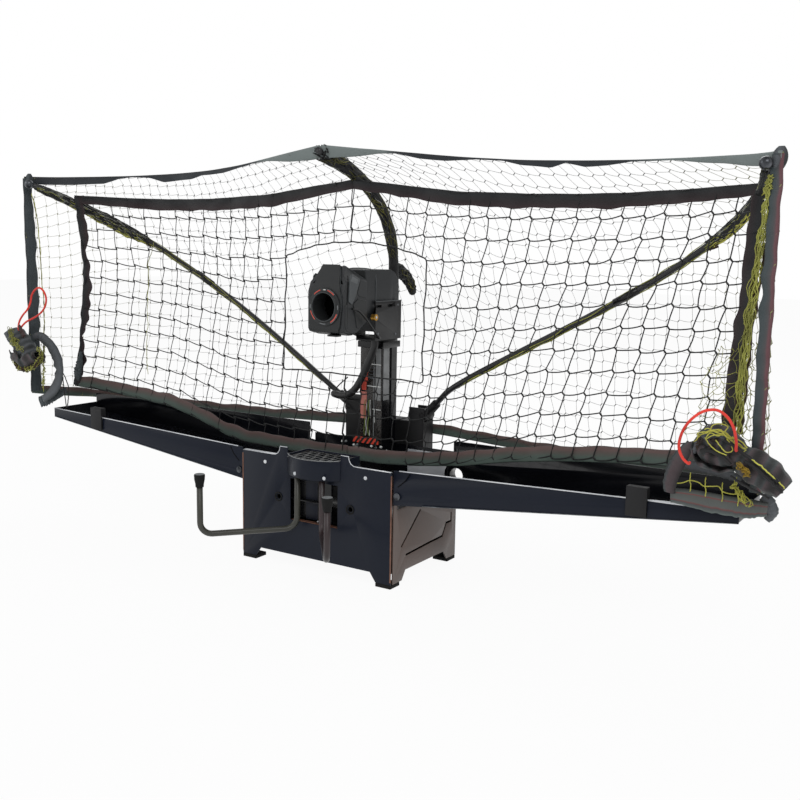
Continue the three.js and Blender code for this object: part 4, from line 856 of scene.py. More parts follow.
def bezier(p, steps):
    curve = []
    for t in np.linspace(0, 1, steps):
        a, b, c, d = (1 - t) ** 3, 3 * t * (1 - t) ** 2, 3 * t * t * (1 - t), t ** 3
        curve.append(a * p[0] + b * p[1] + c * p[2] + d * p[3])
    return curve


def side_pole_line(sign):
    start, end = np.array(POLE_START, float), np.array(POLE_TIP, float)
    span = end - start
    depth = start[1] - end[1]
    first, second = [start + np.array((x * span[0], y * depth, z * span[2])) for x, y, z in SIDE_POLE_SHARES]
    ahead = (first - start) / np.linalg.norm(first - start)
    bend = start + ahead * POLE_STRAIGHT
    line = [start + ahead * reach for reach in np.linspace(0, POLE_STRAIGHT, 5)[:-1]]
    line += bezier([bend, first, second, end], 40)
    return [at(sign * x, y, z) for x, y, z in line]


def centre_pole_line():
    start, end = np.array(CENTRE_START, float), np.array(CENTRE_TIP, float)
    control = [np.array((0, start[1] + y * (end[1] - start[1]), start[2] + z * (end[2] - start[2])))
               for y, z in CENTRE_POLE_SHARES]
    return placed([start - np.array((0, 0, 33.7))] + bezier([start, *control, end], 40))


STRAND_STEP = 7 * MM
YARN_SLOTS = {
    net_black: "net_black", net_brown: "net_black", net_pale: "net_grey", net_yellow: "net_yellow",
    net_bright: "net_yellow", net_olive: "net_yellow", net_ochre: "net_yellow",
}


def strand_about(line, radius, phase, wind, first, last, stray, seed):
    """A strand from one share of a line to another, at an angle about it that drifts by wind."""
    points = np.array([tuple(p) for p in line])
    steps = np.r_[0, np.cumsum(np.linalg.norm(np.diff(points, axis=0), axis=1))]
    total = steps[-1]
    count = int((last - first) * total / STRAND_STEP) + 3
    share = np.linspace(first, last, count)
    path = np.stack([np.interp(share * total, steps, points[:, k]) for k in range(3)], 1)
    _, across, up = frames_along(path)
    angle = phase + wind * (share - first) + stray * wobble(count, seed, 5, 1, 9)
    away = radius(share, angle) * (1 + 0.4 * stray * wobble(count, seed + 1, 5, 2, 12))
    return path + away[:, None] * (np.cos(angle)[:, None] * across + np.sin(angle)[:, None] * up)


def strands(name, line, rows, radius, material, body, seed):
    """Rows give phase, wind, first share, last share, thickness and stray."""
    parts = []
    for k, (phase, wind, first, last, thick, stray) in enumerate(rows):
        path = strand_about(line, radius, phase, wind, first, last, stray, seed + 13 * k)
        ends = np.minimum(np.linspace(0, 1, len(path)), np.linspace(1, 0, len(path)))
        parts.append(tube_data(path, thick * MM * np.clip(0.35 + 9 * ends, 0.35, 1), 6))
    return add_piece(name, *joined(parts), material, body, YARN_SLOTS[material])


def repeated(count, phases, wind, first, last, thick, stray, seed):
    """Rows for strands that differ a little, spread over a range of angles."""
    draw = random.Random(seed)
    rows = []
    for k in range(count):
        phase = phases[0] + (phases[1] - phases[0]) * (k + draw.random()) / count
        rows.append((math.radians(phase), wind * draw.uniform(-1, 1), first + draw.uniform(0, 0.05),
                     last - draw.uniform(0, 0.015), thick * draw.uniform(0.7, 1.25), stray))
    return rows


def make_side_pole(index, side, sign):
    line = side_pole_line(sign)
    body = f"{side}_pole"
    pole = tube(f"{side}_bowed_pole", line, POLE_RADIUS * MM, pole_coat, body, "pole_tube", 16)
    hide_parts(f"{side}_pole")
    tube(f"{side}_pole_sleeve", line[24:27], SLEEVE_RADIUS * MM, gloss_plastic, body, "pole_tube", 16)
    ahead = (line[-1] - line[-2]).normalized()
    turns = np.linspace(-1.45, 1.45, 14)
    profile = [(KNOB_RADIUS * math.sin(a), max(KNOB_RADIUS * math.cos(a), 0.4)) for a in turns]
    knob = lathe(f"{side}_tip_knob", profile, line[-1], ahead, pin_metal, body, "black_plastic")
    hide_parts(f"{side}_pole_knob")
    near, hang, front = (0.68, 9, 180) if sign < 0 else (0.7, 3.5, 0)

    def about(share, angle):
        full = np.interp(share, (near, near + 0.06, 0.82, 0.9, 0.985), (0.1, 1, 0.9, 0.5, 0.1))
        return (6.2 + full * (1.2 + hang * np.clip(np.sin(angle), 0, 1) ** 2)) * MM

    def inside(share, angle):
        return 0.55 * about(share, angle) + 2.5 * MM

    def close(share, angle):
        return 6.3 * MM + 0 * share

    def knotted(share, angle):
        return 8.5 * MM + 0 * share

    for name, (*spread, seed), yarn_material, radius in (
            ("core", (12, (20, 160), 0.6, near, 0.985, 3.4, 0.2, 5), net_black, inside),
            ("dark", (22, (-80, 250), 1.2, near, 0.985, 1.3, 0.22, 8), net_black, about),
            ("pale", (20, (front - 85, front + 60), 0.9, near + 0.01, 0.98, 0.7, 0.2, 15), net_pale, about),
            ("yellow", (14, sorted((front, 90)), 0.6, near, 0.985, 0.85, 0.22, 25), net_yellow, about),
            ("bright", (8, (60, 115), 0.5, near - 0.01, 0.95, 1.1, 0.25, 55), net_bright, about),
            ("thread", (5, (40, 140), 5, 0.08, near + 0.03, 0.75, 0.3, 35), net_yellow, close),
            ("knot", (7, (60, 120), 3, near - 0.012, near + 0.03, 1.5, 0.5, 45), net_brown, knotted)):
        rows = repeated(*spread, seed + index)
        strands(f"{side}_pole_gather_{name}", line, rows, radius, yarn_material, body, 10 * index + len(name))


def make_centre_pole():
    line = centre_pole_line()
    pole = tube("centre_bowed_pole", line, POLE_RADIUS * MM, pole_coat, "base", "pole_tube", 16)
    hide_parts("centre_pole")

    def wrapped(share, angle):
        return np.interp(share, (0.08, 0.5, 0.8, 0.985), (8, 9, 11, 14)) * MM

    def within(share, angle):
        return 0.6 * wrapped(share, angle)

    def around(share, angle):
        return wrapped(share, angle) + 1.6 * MM

    for name, spread, yarn_material, radius in (
            ("core", (14, (0, 360), 2, 0.08, 0.985, 4.2, 0.2, 61), net_black, within),
            ("wrap", (26, (0, 360), 3, 0.08, 0.985, 2.2, 0.15, 64), net_black, wrapped),
            ("threads", (16, (0, 360), 42, 0.1, 0.97, 0.5, 0.2, 62), net_olive, around),
            ("edge", (4, (60, 330), 4, 0.3, 0.97, 0.7, 0.2, 63), net_pale, around)):
        strands(f"centre_pole_{name}", line, repeated(*spread), radius, yarn_material, "base", len(name))
    boot = [line[0] - Vector((0, 0, 2 * MM)), *line[1:8]]
    tube("centre_pole_boot", boot, np.linspace(10.5, 8, len(boot)) * MM, net_black, "base", "net_black", 16)


for number, (side_name, side_sign) in enumerate(SIDES):
    make_side_pole(number, side_name, side_sign)
make_centre_pole()


# Net surfaces, from the same shares as the part's own nets
NET_HALF_SPAN = 786
NET_REACH = 345
NET_TOP = 766
NET_SEAM = 0.7
FRONT_NET_SPAN = 722
FRONT_NET_TOP = 692
OPENING_HALF_WIDTH = 163
OPENING_LOW = 357
OPENING_TOP = 604
OUTER_SPAN_SHARES = (0, 0.153, 0.305, 0.44, 0.573, 0.7, 0.827, 0.93, 0.972, 0.99, 1)
OUTER_DEPTH_SHARES = (
    (0.8, 0.98, 1, 0.66, 0.34, 0.05), (0.795, 0.87, 0.88, 0.56, 0.36, 0.14),
    (0.785, 0.795, 0.79, 0.55, 0.4, 0.24), (0.755, 0.78, 0.79, 0.58, 0.44, 0.3),
    (0.72, 0.765, 0.775, 0.6, 0.46, 0.33), (0.65, 0.7, 0.715, 0.54, 0.4, 0.28),
    (0.56, 0.59, 0.59, 0.39, 0.29, 0.2), (0.475, 0.43, 0.36, 0.23, 0.17, 0.12),
    (0.45, 0.3, 0.19, 0.14, 0.1, 0.06), (0.18, 0.12, 0.08, 0.05, 0.03, 0.01),
    (0, 0, 0, 0, 0, 0),
)
OUTER_HEIGHT_SHARES = (
    (0.305, 0.45, 0.64, 0.905, 0.966, 1), (0.302, 0.43, 0.58, 0.875, 0.945, 0.985),
    (0.295, 0.42, 0.55, 0.84, 0.91, 0.97), (0.292, 0.44, 0.6, 0.83, 0.895, 0.961),
    (0.292, 0.46, 0.66, 0.835, 0.895, 0.957), (0.298, 0.49, 0.73, 0.865, 0.91, 0.953),
    (0.304, 0.52, 0.815, 0.9, 0.925, 0.951), (0.308, 0.56, 0.88, 0.92, 0.935, 0.95),
    (0.312, 0.6, 0.91, 0.925, 0.938, 0.95), (0.33, 0.61, 0.9, 0.925, 0.938, 0.95),
    (0.345, 0.62, 0.89, 0.92, 0.936, 0.95),
)
FRONT_NET_SHARES = (
    (0, 0.31, 0.306, 0.34, 1), (0.5, 0.305, 0.306, 0.345, 1), (1, 0.3, 0.306, 0.36, 0.998),
    (1.5, 0.29, 0.318, 0.385, 0.995), (2, 0.285, 0.345, 0.41, 0.99), (2.5, 0.28, 0.365, 0.42, 0.988),
    (3, 0.265, 0.38, 0.4, 0.99), (3.5, 0.235, 0.392, 0.33, 0.994), (4, 0.19, 0.403, 0.22, 1),
)
OUTER_CELL = 25
FRONT_CELL = 39
# Half thickness of each net's cords, half size and thickness of its knots, and how loosely it hangs
OUTER_YARN = {"radius": 0.28, "slant": (1.2, 1.7), "thick": 0.85, "sag": 0.7, "stray": 1.1}
FRONT_YARN = {"radius": 1.05, "slant": (1.9, -2.3), "thick": 1.6, "sag": 1.3, "stray": 1.4,
              "open_arch": True, "lean": -34}
# Lift of the front net over the centre pole: how much, from which height up, and how far out
POLE_LIFT = 22
POLE_LIFT_LOW = 560
POLE_LIFT_RISE = 110
POLE_LIFT_REACH = 230
FOOT_SAG_TOP = 300
FOOT_SAG_DROP = 88
RIGHT_END_PULL = 5
# How far each side's front net leans at its end, by height, and sags at its foot, by X
END_LEANS = {
    -1: ((280, 383, 450, 539, 620, 692), (0, -22, -28, -36, -22, -8)),
    1: ((280, 418, 550, 692), (0, 6, 15, 20)),
}
LOW_SAGS = {-1: ((0, 180, 306, 450), (14, 14, 24, 0)), 1: ((0, 80, 175, 300), (14, 13, 5, 0))}


def between(table, place):
    """Straight steps between the rows of a table, one row for each whole number of place."""
    table = np.asarray(table, float)
    index = min(int(place), len(table) - 2)
    return table[index] + (place - index) * (table[index + 1] - table[index])


def relaxed(grid, passes):
    """Smooths a net's surface, with its ends along each direction kept."""
    for _ in range(passes):
        grid[1:-1] = (grid[:-2] + 2 * grid[1:-1] + grid[2:]) / 4
        grid[:, 1:-1] = (grid[:, :-2] + 2 * grid[:, 1:-1] + grid[:, 2:]) / 4
    return grid


def outer_surface():
    """Right half of the outer net in millimetres: X, depth, height, from the hem up."""
    across, up = 61, 49
    grid = np.zeros((across, up, 3))
    for i, u in enumerate(np.linspace(0, len(OUTER_SPAN_SHARES) - 1, across)):
        depths, heights = between(OUTER_DEPTH_SHARES, u), between(OUTER_HEIGHT_SHARES, u)
        span = between([[share] for share in OUTER_SPAN_SHARES], u)[0]
        for k, v in enumerate(np.linspace(0, len(depths) - 1, up)):
            grid[i, k] = (NET_SEAM + span * (NET_HALF_SPAN - NET_SEAM),
                          between(depths[:, None], v)[0] * NET_REACH,
                          between(heights[:, None], v)[0] * NET_TOP)
    return relaxed(grid, 4)


def front_surface():
    """Right half of the front net in millimetres."""
    across, up = 65, 33
    grid = np.zeros((across, up, 3))
    last = FRONT_NET_SHARES[-1][0]
    for i, u in enumerate(np.linspace(0, len(FRONT_NET_SHARES) - 1, across)):
        place, low_depth, low_height, top_depth, top_height = between(FRONT_NET_SHARES, u)
        if place <= 1:
            span = place * OPENING_HALF_WIDTH
        else:
            span = OPENING_HALF_WIDTH + (place - 1) / (last - 1) * (FRONT_NET_SPAN - OPENING_HALF_WIDTH)
        for k, rise in enumerate(np.linspace(0, 1, up)):
            grid[i, k] = (span + NET_SEAM, (low_depth + rise * (top_depth - low_depth)) * NET_REACH,
                          (low_height + rise * (top_height - low_height)) * FRONT_NET_TOP)
    return relaxed(grid, 4)


def shaped(outer, front, sign):
    """Both net surfaces with one side's own ends. The front net rises at the centre pole and sags below."""
    outer, front = outer.copy(), front.copy()
    heights = front[..., 2]
    near_end = (front[..., 0] / FRONT_NET_SPAN) ** 5
    lean, sag = END_LEANS[sign], LOW_SAGS[sign]
    front[..., 0] += np.interp(heights, *lean) * near_end
    rise = np.clip((heights - POLE_LIFT_LOW) / POLE_LIFT_RISE, 0, 1)
    front[..., 2] += POLE_LIFT * rise * np.clip(1 - front[..., 0] / POLE_LIFT_REACH, 0, 1) ** 1.2
    drop = np.clip((FOOT_SAG_TOP - heights) / FOOT_SAG_DROP, 0, 1)
    front[..., 2] -= np.interp(front[..., 0], *sag) * drop
    if sign > 0:
        outer[..., 0] -= RIGHT_END_PULL * (outer[..., 0] / NET_HALF_SPAN) ** 6
    return outer, front


def spaced(line, count):
    """A line of points cut into equal lengths."""
    steps = np.r_[0, np.cumsum(np.linalg.norm(np.diff(line, axis=0), axis=1))]
    reach = np.linspace(0, steps[-1], count)
    return np.stack([np.interp(reach, steps, line[:, k]) for k in range(3)], 1)


def knot_grid(surface, cell):
    """Places of a net's knots, about one cell apart."""
    middle = surface[:, surface.shape[1] // 2]
    length = np.linalg.norm(np.diff(middle, axis=0), axis=1).sum()
    rise = np.linalg.norm(np.diff(surface, axis=1), axis=2).sum(1).mean()
    across, up = round(length / cell) + 1, round(rise / cell) + 1
    columns = np.array([spaced(column, up) for column in surface])
    return np.array([spaced(columns[:, k], across) for k in range(up)]).transpose(1, 0, 2)


def arch_height(x):
    share = min(abs(x) / OPENING_HALF_WIDTH, 1)
    return OPENING_TOP - 30 * share ** 2.2


def in_opening(x, z):
    """Whether a place on the front net lies in the arch that the head looks through."""
    return abs(x) < OPENING_HALF_WIDTH - 4 and OPENING_LOW < z < arch_height(x)


def clipped(a, b):
    """The stretch of a cord that lies outside the opening, or None."""
    inside = in_opening(a[0], a[2]), in_opening(b[0], b[2])
    if all(inside):
        return None
    if not any(inside):
        return a, b
    outer, inner = (b, a) if inside[0] else (a, b)
    low, high = 0.0, 1.0
    for _ in range(12):
        middle = (low + high) / 2
        spot = outer + middle * (inner - outer)
        if in_opening(spot[0], spot[2]):
            high = middle
        else:
            low = middle
    return outer, outer + high * (inner - outer)


def net_data(knots, sign, seed, radius, slant, thick, sag, stray, open_arch=False, lean=0.0):
    """Cords between slanted knots. slant is half a knot's width and height, sag each cord's droop."""
    draw = np.random.default_rng(seed)
    loose = knots.copy()
    loose[1:-1, 1:-1] += draw.normal(0, stray, loose[1:-1, 1:-1].shape)
    loose[:, :, 0] *= sign
    rise = np.linspace(1, 0, loose.shape[1])[None, :]
    fade = 1 - (np.abs(loose[:, :, 0]) / FRONT_NET_SPAN).clip(0, 1) ** 6
    loose[:, :, 0] += lean * (0.4 + loose[:, :, 0] / FRONT_NET_SPAN) * rise * fade
    half = np.array((slant[0], 0, slant[1]), float)
    parts = []

    def run(a, b, drop):
        ends = clipped(a, b) if open_arch else (a, b)
        if ends is None:
            return
        share = np.linspace(0, 1, 5)[:, None]
        path = ends[0] + share * (ends[1] - ends[0])
        bow = draw.normal(0, sag * 0.45, 3) * 4
        path += share * (1 - share) * bow
        path[:, 2:] -= drop * 4 * share * (1 - share)
        parts.append(tube_data(placed(path), radius * MM, 4))

    for i in range(loose.shape[0]):
        for k in range(loose.shape[1]):
            here = loose[i, k]
            if i + 1 < loose.shape[0]:
                run(here + half, loose[i + 1, k] - half, sag)
            if k + 1 < loose.shape[1]:
                flip = half * math.copysign(1, half[2])
                run(here + flip, loose[i, k + 1] - flip, 0)
            if not (open_arch and in_opening(here[0], here[2])):
                path = placed(here + half * reach for reach in (-1.15, -0.5, 0.5, 1.15))
                parts.append(tube_data(path, np.array((0.75, 1.0, 1.0, 0.75)) * thick * MM, 5))
    return joined(parts)


RIBBON_SIDES = 14


def ribbon_data(line, inward, width, thickness, seed, flutter=1.0, lap=0.0, curl=0.0):
    """A folded strip of cloth along a line, its width running inwards. Sizes in millimetres."""
    line, inward = np.asarray(line, float), np.asarray(inward, float)
    count = len(line)
    tangent = np.gradient(line, axis=0)
    tangent /= np.linalg.norm(tangent, axis=1)[:, None]
    inward = inward - tangent * (inward * tangent).sum(1)[:, None]
    inward /= np.linalg.norm(inward, axis=1)[:, None]
    normal = np.cross(tangent, inward)
    wide = np.broadcast_to(np.asarray(width, float), (count,)) / 2
    wide = wide * (1 + 0.07 * flutter * wobble(count, seed, 7, 3, 14))
    thick = thickness / 2 * (1 + 0.3 * flutter * wobble(count, seed + 1, 7, 5, 24))
    sway = 0.9 * flutter * wobble(count, seed + 2, 6, 3, 14)
    twist = 0.12 * flutter * wobble(count, seed + 3, 6, 2, 10)
    rings = []
    for i in range(count):
        for side in range(RIBBON_SIDES):
            angle = 2 * math.pi * side / RIBBON_SIDES
            a = math.copysign(abs(math.cos(angle)) ** 0.6, math.cos(angle)) * wide[i]
            b = math.copysign(abs(math.sin(angle)) ** 0.9, math.sin(angle)) * thick[i]
            b += 0.4 * math.sin(a * 0.35 + 5 * twist[i]) + curl * (a / wide[i]) ** 2
            cos, sin = math.cos(twist[i]), math.sin(twist[i])
            middle = line[i] + inward[i] * (wide[i] - lap) + normal[i] * sway[i]
            rings.append(middle + inward[i] * (a * cos - b * sin) + normal[i] * (a * sin + b * cos))
    return placed(rings), ring_faces(count, RIBBON_SIDES)


def tone_around(obj, rings, sides):
    """The tone of a strip made of rings, from its inner edge round to its outer one and back."""
    ring = [0.5 + 0.5 * math.cos(2 * math.pi * side / sides) for side in range(sides)]
    return set_tone(obj, ring * rings)


def strip(name, line, inward, width, thickness, material, seed, lap=0.0, flutter=1.0, curl=0.0):
    """A strip of woven cloth, with its tone set across its width."""
    data = ribbon_data(line, inward, width, thickness, seed, flutter, lap, curl)
    obj = add_piece(name, *data, material, "base", "hem_fabric")
    tone_around(obj, len(line), RIBBON_SIDES)
    outward(obj)
    length = np.linalg.norm(np.diff(np.asarray(line, float), axis=0), axis=1).sum() * MM
    max(float(np.mean(width)), 10) * MM
    return gathered(obj)


def edge_line(surface, sign, edge, count):
    """An edge of a net's surface and the direction into the net along it."""
    rim, inner = {
        "top": (surface[:, -1], surface[:, -3]), "bottom": (surface[:, 0], surface[:, 2]),
        "end": (surface[-1], surface[-3]),
    }[edge]
    rim, inner = spaced(rim, count), spaced(inner, count)
    flip = np.array((sign, 1, 1))
    return rim * flip, (inner - rim) * flip


EAR_FOOT = (774, 4, 704)
EAR_RISE = 34
EAR_LEAN = 4
EAR_BULGE = 9.5
TOP_HEM_WIDTHS = {
    "left": ((0, 0.06, 0.14, 0.2, 0.26, 0.33, 0.38, 0.46, 0.5, 0.6, 0.64, 0.69, 0.73, 0.78, 0.87, 0.95, 1),
             (25, 21, 13, 5, 3, 6, 9, 8, 14, 15, 6, 3, 5, 15, 17, 16, 14)),
    "right": ((0, 0.06, 0.13, 0.17, 0.22, 0.28, 0.34, 0.4, 0.44, 0.5, 0.53, 0.57, 0.62, 0.67, 0.76, 0.86,
               0.96, 1),
              (25, 18, 7, 4, 9, 9, 3, 3, 9, 12, 4, 10, 9, 3, 3, 11, 19, 20)),
}
TOP_HEM_PALER = {"left": ((0, 0.2, 0.26), (1, 1, 0)), "right": ((0, 0.14, 0.17, 0.66, 0.76), (1, 1, 0, 0, 1))}
RIGHT_END_WIDTHS = ((0, 0.5, 1), (25, 24, 23))
LEFT_END_SHARES = ((0, 0.12, 0.2, 0.27, 0.3, 0.36, 0.55, 0.72, 0.78, 0.95, 1),
                   (1, 1.2, 0.9, 0.25, 0.7, 1, 1.1, 0.5, 1.15, 1, 1))


def spread_along(count, table):
    """Values from a table of shares and values, one for each of count points along a line."""
    return np.interp(np.linspace(0, 1, count), *table)


def make_hems(index, side, sign, outer, front):
    left = sign < 0
    catch_ends = (16, 22, 26, 25) if left else (18, 18, 20, 17)
    screen_end = 19 * spread_along(90, LEFT_END_SHARES) if left else spread_along(90, RIGHT_END_WIDTHS)
    for number, (name, edge, widths, thickness, material, lap, flutter) in enumerate((
            ("catch_top", "top", spread_along(150, TOP_HEM_WIDTHS[side]), 3, hem_top, 4, 0.5),
            ("catch_low", "bottom", np.full(110, 20), 3, hem_low, 3, 1.0),
            ("catch_end", "end", np.interp(np.linspace(1, 0, 80), (0, 0.15, 0.5, 1), catch_ends), 5,
             hem_left if left else hem_right, 3, 0.8),
            ("screen_top", "top", spread_along(110, ((0, 0.3, 0.7, 1), (17, 25, 24, 17))), 3, hem_front, 3,
             0.7),
            ("screen_low", "bottom", np.full(110, 26), 3, hem_low, 3, 0.7),
            ("screen_end", "end", screen_end, 4, hem_front, 3, 1.7 if left else 0.9))):
        net = name.split("_")[0]
        line, inward = edge_line(outer if net == "catch" else front, sign, edge, len(widths))
        if name == "catch_top":
            inward = np.array((0, 0, -1)) + 0.02 * inward
        elif name == "catch_end" and not left:
            inward = np.array((-1, 0.25, 0)) + 0 * line
        hem = strip(f"{side}_{name}_hem", line, inward, widths, thickness, material, 60 + 2 * number + index,
                    lap, flutter)
        # The top hem takes a paler grey over listed stretches of its length.
        if name == "catch_top":
            layer = hem.data.attributes.new("paler", "FLOAT", "POINT")
            paler = np.repeat(spread_along(len(widths), TOP_HEM_PALER[side]), RIBBON_SIDES)
            layer.data.foreach_set("value", paler.astype(np.float32))


def make_nets():
    plain_outer, plain_front = outer_surface(), front_surface()
    for index, (side, sign) in enumerate(SIDES):
        outer, front = shaped(plain_outer, plain_front, sign)
        outer_data = net_data(knot_grid(outer, OUTER_CELL), sign, 20 + index, **OUTER_YARN)
        front_data = net_data(knot_grid(front, FRONT_CELL), sign, 40 + index, **FRONT_YARN)
        net = add_piece(f"{side}_catch_net", *outer_data, net_grey, "base", "net_grey")
        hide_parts(f"{side}_outer_net")
        gathered(net)
        net = add_piece(f"{side}_screen_net", *front_data, net_black, "base", "net_black")
        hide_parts(f"{side}_front_net")
        gathered(net)
        make_hems(index, side, sign, outer, front)
        make_arch(side, sign, front)
        make_ear(side, sign)


def make_arch(side, sign, front):
    """Edge cord of the opening that the head looks through."""
    half = OPENING_HALF_WIDTH - 4
    rim = [(half * share, arch_height(half * share)) for share in np.linspace(0, 1, 12)]
    rim += [(half, z) for z in np.linspace(arch_height(half), OPENING_LOW, 9)[1:]]
    rim += [(x, OPENING_LOW) for x in np.linspace(half, 0, 8)[1:]]
    flat = front.reshape(-1, 3)
    path = []
    for step, (x, z) in enumerate(rim):
        near = np.argsort((flat[:, 0] - x) ** 2 + (flat[:, 2] - z) ** 2)[:3]
        stray = 1.6 * math.sin(2.1 * step)
        path.append(at(sign * x + stray * min(1, x / 20), flat[near, 1].mean(), z - abs(stray)))
    gathered(tube(f"{side}_opening_cord", smooth_path(path, 4), 1.3 * MM, net_black, "base", "net_black", 8))


def make_ear(side, sign):
    """The rounded fabric pocket at a corner, which the pole's knob holds."""
    points = []
    rings, sides = 13, 20
    x, depth, low = EAR_FOOT
    for ring in range(rings):
        share = ring / (rings - 1)
        wide = 1 + EAR_BULGE * math.sin(math.pi * min(max(share, 0.02), 0.98)) ** 0.42
        for step in range(sides):
            angle = 2 * math.pi * step / sides
            fold = 1 + 0.08 * math.sin(3 * angle + 4 * share)
            points.append(at(sign * (x + EAR_LEAN * share + wide * math.cos(angle) * fold),
                             depth + EAR_LEAN * share + 0.7 * wide * math.sin(angle) * fold,
                             low + EAR_RISE * share))
    ear = outward(add_piece(f"{side}_corner_pocket", points, ring_faces(rings, sides),
                            hem_left if sign < 0 else hem_slate, "base", "hem_fabric"))
    gathered(tone_around(ear, rings, sides))


make_nets()


# Rolled net ends, straps and loose yellow netting
CLOTH = 2.2
ROLL_SIDES = 54
ROLL_CORE = 0.28


def roll_data(path, wide, deep, turns, seed):
    """Cloth rolled into a loose spiral along a path. wide and deep are its half sizes, in millimetres."""
    points = np.asarray(path, float)
    count, around = len(points), ROLL_SIDES
    tangents, _, _ = frames_along(points)
    forward = np.array((0, 1.0, 0))
    rings = []
    for i in range(count):
        across = np.cross(tangents[i], forward)
        across /= np.linalg.norm(across)
        ahead = np.cross(across, tangents[i])
        for inner in (False, True):
            steps = np.linspace(0, 1, around)
            for share in (steps[::-1] if inner else steps):
                angle = 2 * math.pi * turns * share + 0.25 * math.sin(0.35 * i + seed)
                grow = ROLL_CORE + (1 - ROLL_CORE) * share
                crease = 1 + 0.05 * math.sin(3 * angle + 0.55 * i + seed)
                crease += 0.04 * math.sin(7 * angle - 0.3 * i)
                cut = CLOTH if inner else 0.0
                a = (wide[i] * grow - cut) * math.cos(angle) * crease
                b = (deep * grow - cut) * math.sin(angle) * crease
                rings.append(points[i] + across * a + ahead * b)
    faces = []
    size = 2 * around
    for i in range(count - 1):
        for side in range(size):
            after = (side + 1) % size
            a, b = i * size, (i + 1) * size
            faces.append((a + side, a + after, b + after, b + side))
    for first, flip in ((0, True), ((count - 1) * size, False)):
        for side in range(around - 1):
            cell = (first + side, first + side + 1, first + size - 2 - side, first + size - 1 - side)
            faces.append(tuple(reversed(cell)) if flip else cell)
    return placed(rings), faces


def roll(name, route, wide, deep, turns, material, seed):
    path = smooth_path(route, 9)
    widths = spread_along(len(path), (np.linspace(0, 1, len(wide)), wide))
    data = roll_data([tuple(p) for p in path], widths, deep, turns, seed)
    obj = outward(add_piece(name, *data, material, "base", "hem_fabric"))
    set_tone(obj, [0.5 + 0.5 * math.sin(0.12 * k) for k in range(len(obj.data.vertices))])
    return gathered(obj)


def facing_strip(name, route, width, material, seed, thickness=2.6, flutter=0.8, face=(0, -1, 0)):
    """A strip whose flat side faces the given way, centred on a route."""
    line = np.array([tuple(p) for p in smooth_path(route, 8)])
    tangent = np.gradient(line, axis=0)
    inward = np.cross(tangent, np.array(face, float))
    inward /= np.linalg.norm(inward, axis=1)[:, None]
    widths = spread_along(len(line), (np.linspace(0, 1, len(width)), width))
    line = line - inward * widths[:, None] / 2
    return strip(name, line, inward, widths, thickness, material, seed, 0, flutter, 1.5)


def tangle(name, places, reach, count, thick, material, seed, span=0.4):
    """Loose yarns that follow a line of places for a stretch, within reach of it."""
    draw = random.Random(seed)
    parts = []
    for k in range(count):
        stretch = span * draw.uniform(0.5, 1.4)
        shares = np.linspace(0, stretch, 16) + draw.uniform(0, 1 - min(stretch, 0.95))
        path = np.array([between(places, min(share, 1) * (len(places) - 1)) for share in shares])
        path += 1e-3 * np.arange(16)[:, None]
        for axis in range(3):
            path[:, axis] += 0.8 * reach * wobble(16, seed + 31 * k + axis, 4, 0.4, 3)
        parts.append(tube_data(placed(path), thick * draw.uniform(0.7, 1.1) * MM, 5))
    return gathered(add_piece(name, *joined(parts), material, "base", YARN_SLOTS[material]))


def loose_net(name, corners, columns, rows, thick, stray, material, seed):
    """Slack netting between four corners: low left, low right, top right, top left."""
    low_left, low_right, top_right, top_left = [np.array(corner, float) for corner in corners]
    grid = np.zeros((columns, rows, 3))
    for i, u in enumerate(np.linspace(0, 1, columns)):
        for k, v in enumerate(np.linspace(0, 1, rows)):
            low, top = low_left + u * (low_right - low_left), top_left + u * (top_right - top_left)
            grid[i, k] = low + v * (top - low)
    draw = np.random.default_rng(seed)
    grid += draw.normal(0, stray, grid.shape) * np.array((1, 0.5, 1))
    data = net_data(grid, 1, seed, thick, (1.3, -1.5), 1.6 * thick, 2.0, 0.1)
    return gathered(add_piece(name, *data, material, "base", YARN_SLOTS[material]))


def yarn(name, route, thick, material, wander, seed, steps=6, slot=None):
    """A loose yarn along a route, with small wanders."""
    line = smooth_path(route, steps)
    sway = wobble(len(line), seed, 7, 4, 24)
    path = [at(p.x + wander * s, p.y, p.z) for p, s in zip(line, sway)]
    return gathered(tube(name, path, thick * MM, material, "base", slot or YARN_SLOTS[material], 6))


LEFT_CURVE = ((-766, -8, 386), (-750, -6, 390), (-733, -5, 384), (-712, -5, 370), (-694, -5, 346),
              (-688, -5, 318), (-697, -5, 290), (-718, -5, 268), (-745, -5, 252))
LEFT_FRINGE = ((-790, -44, 352), (-776, -50, 334), (-756, -52, 323), (-732, -52, 322), (-712, -48, 330),
               (-700, -42, 346), (-702, -38, 362), (-716, -36, 370))
LEFT_YARN = ((-763, 0, 696), (-755, 0, 672), (-748, 0, 645), (-743, 0, 600), (-741, 0, 552), (-739, 0, 508),
             (-736, 0, 470), (-736, 0, 430), (-738, 0, 400), (-742, 0, 345), (-747, 0, 292), (-748, 0, 268))
LEFT_TIES = (
    ((-688, 0, 322), (-676, 2, 304), (-668, 3, 284), (-671, 4, 262), (-677, 6, 240)),
    ((-684, 2, 306), (-684, 3, 288), (-682, 4, 262), (-680, 6, 238)),
)
LEFT_HANGING = ((-470, 70, 596), (-478, 70, 574), (-486, 70, 560), (-488, 70, 520), (-492, 70, 470),
                (-494, 70, 420), (-498, 70, 360), (-496, 70, 320))


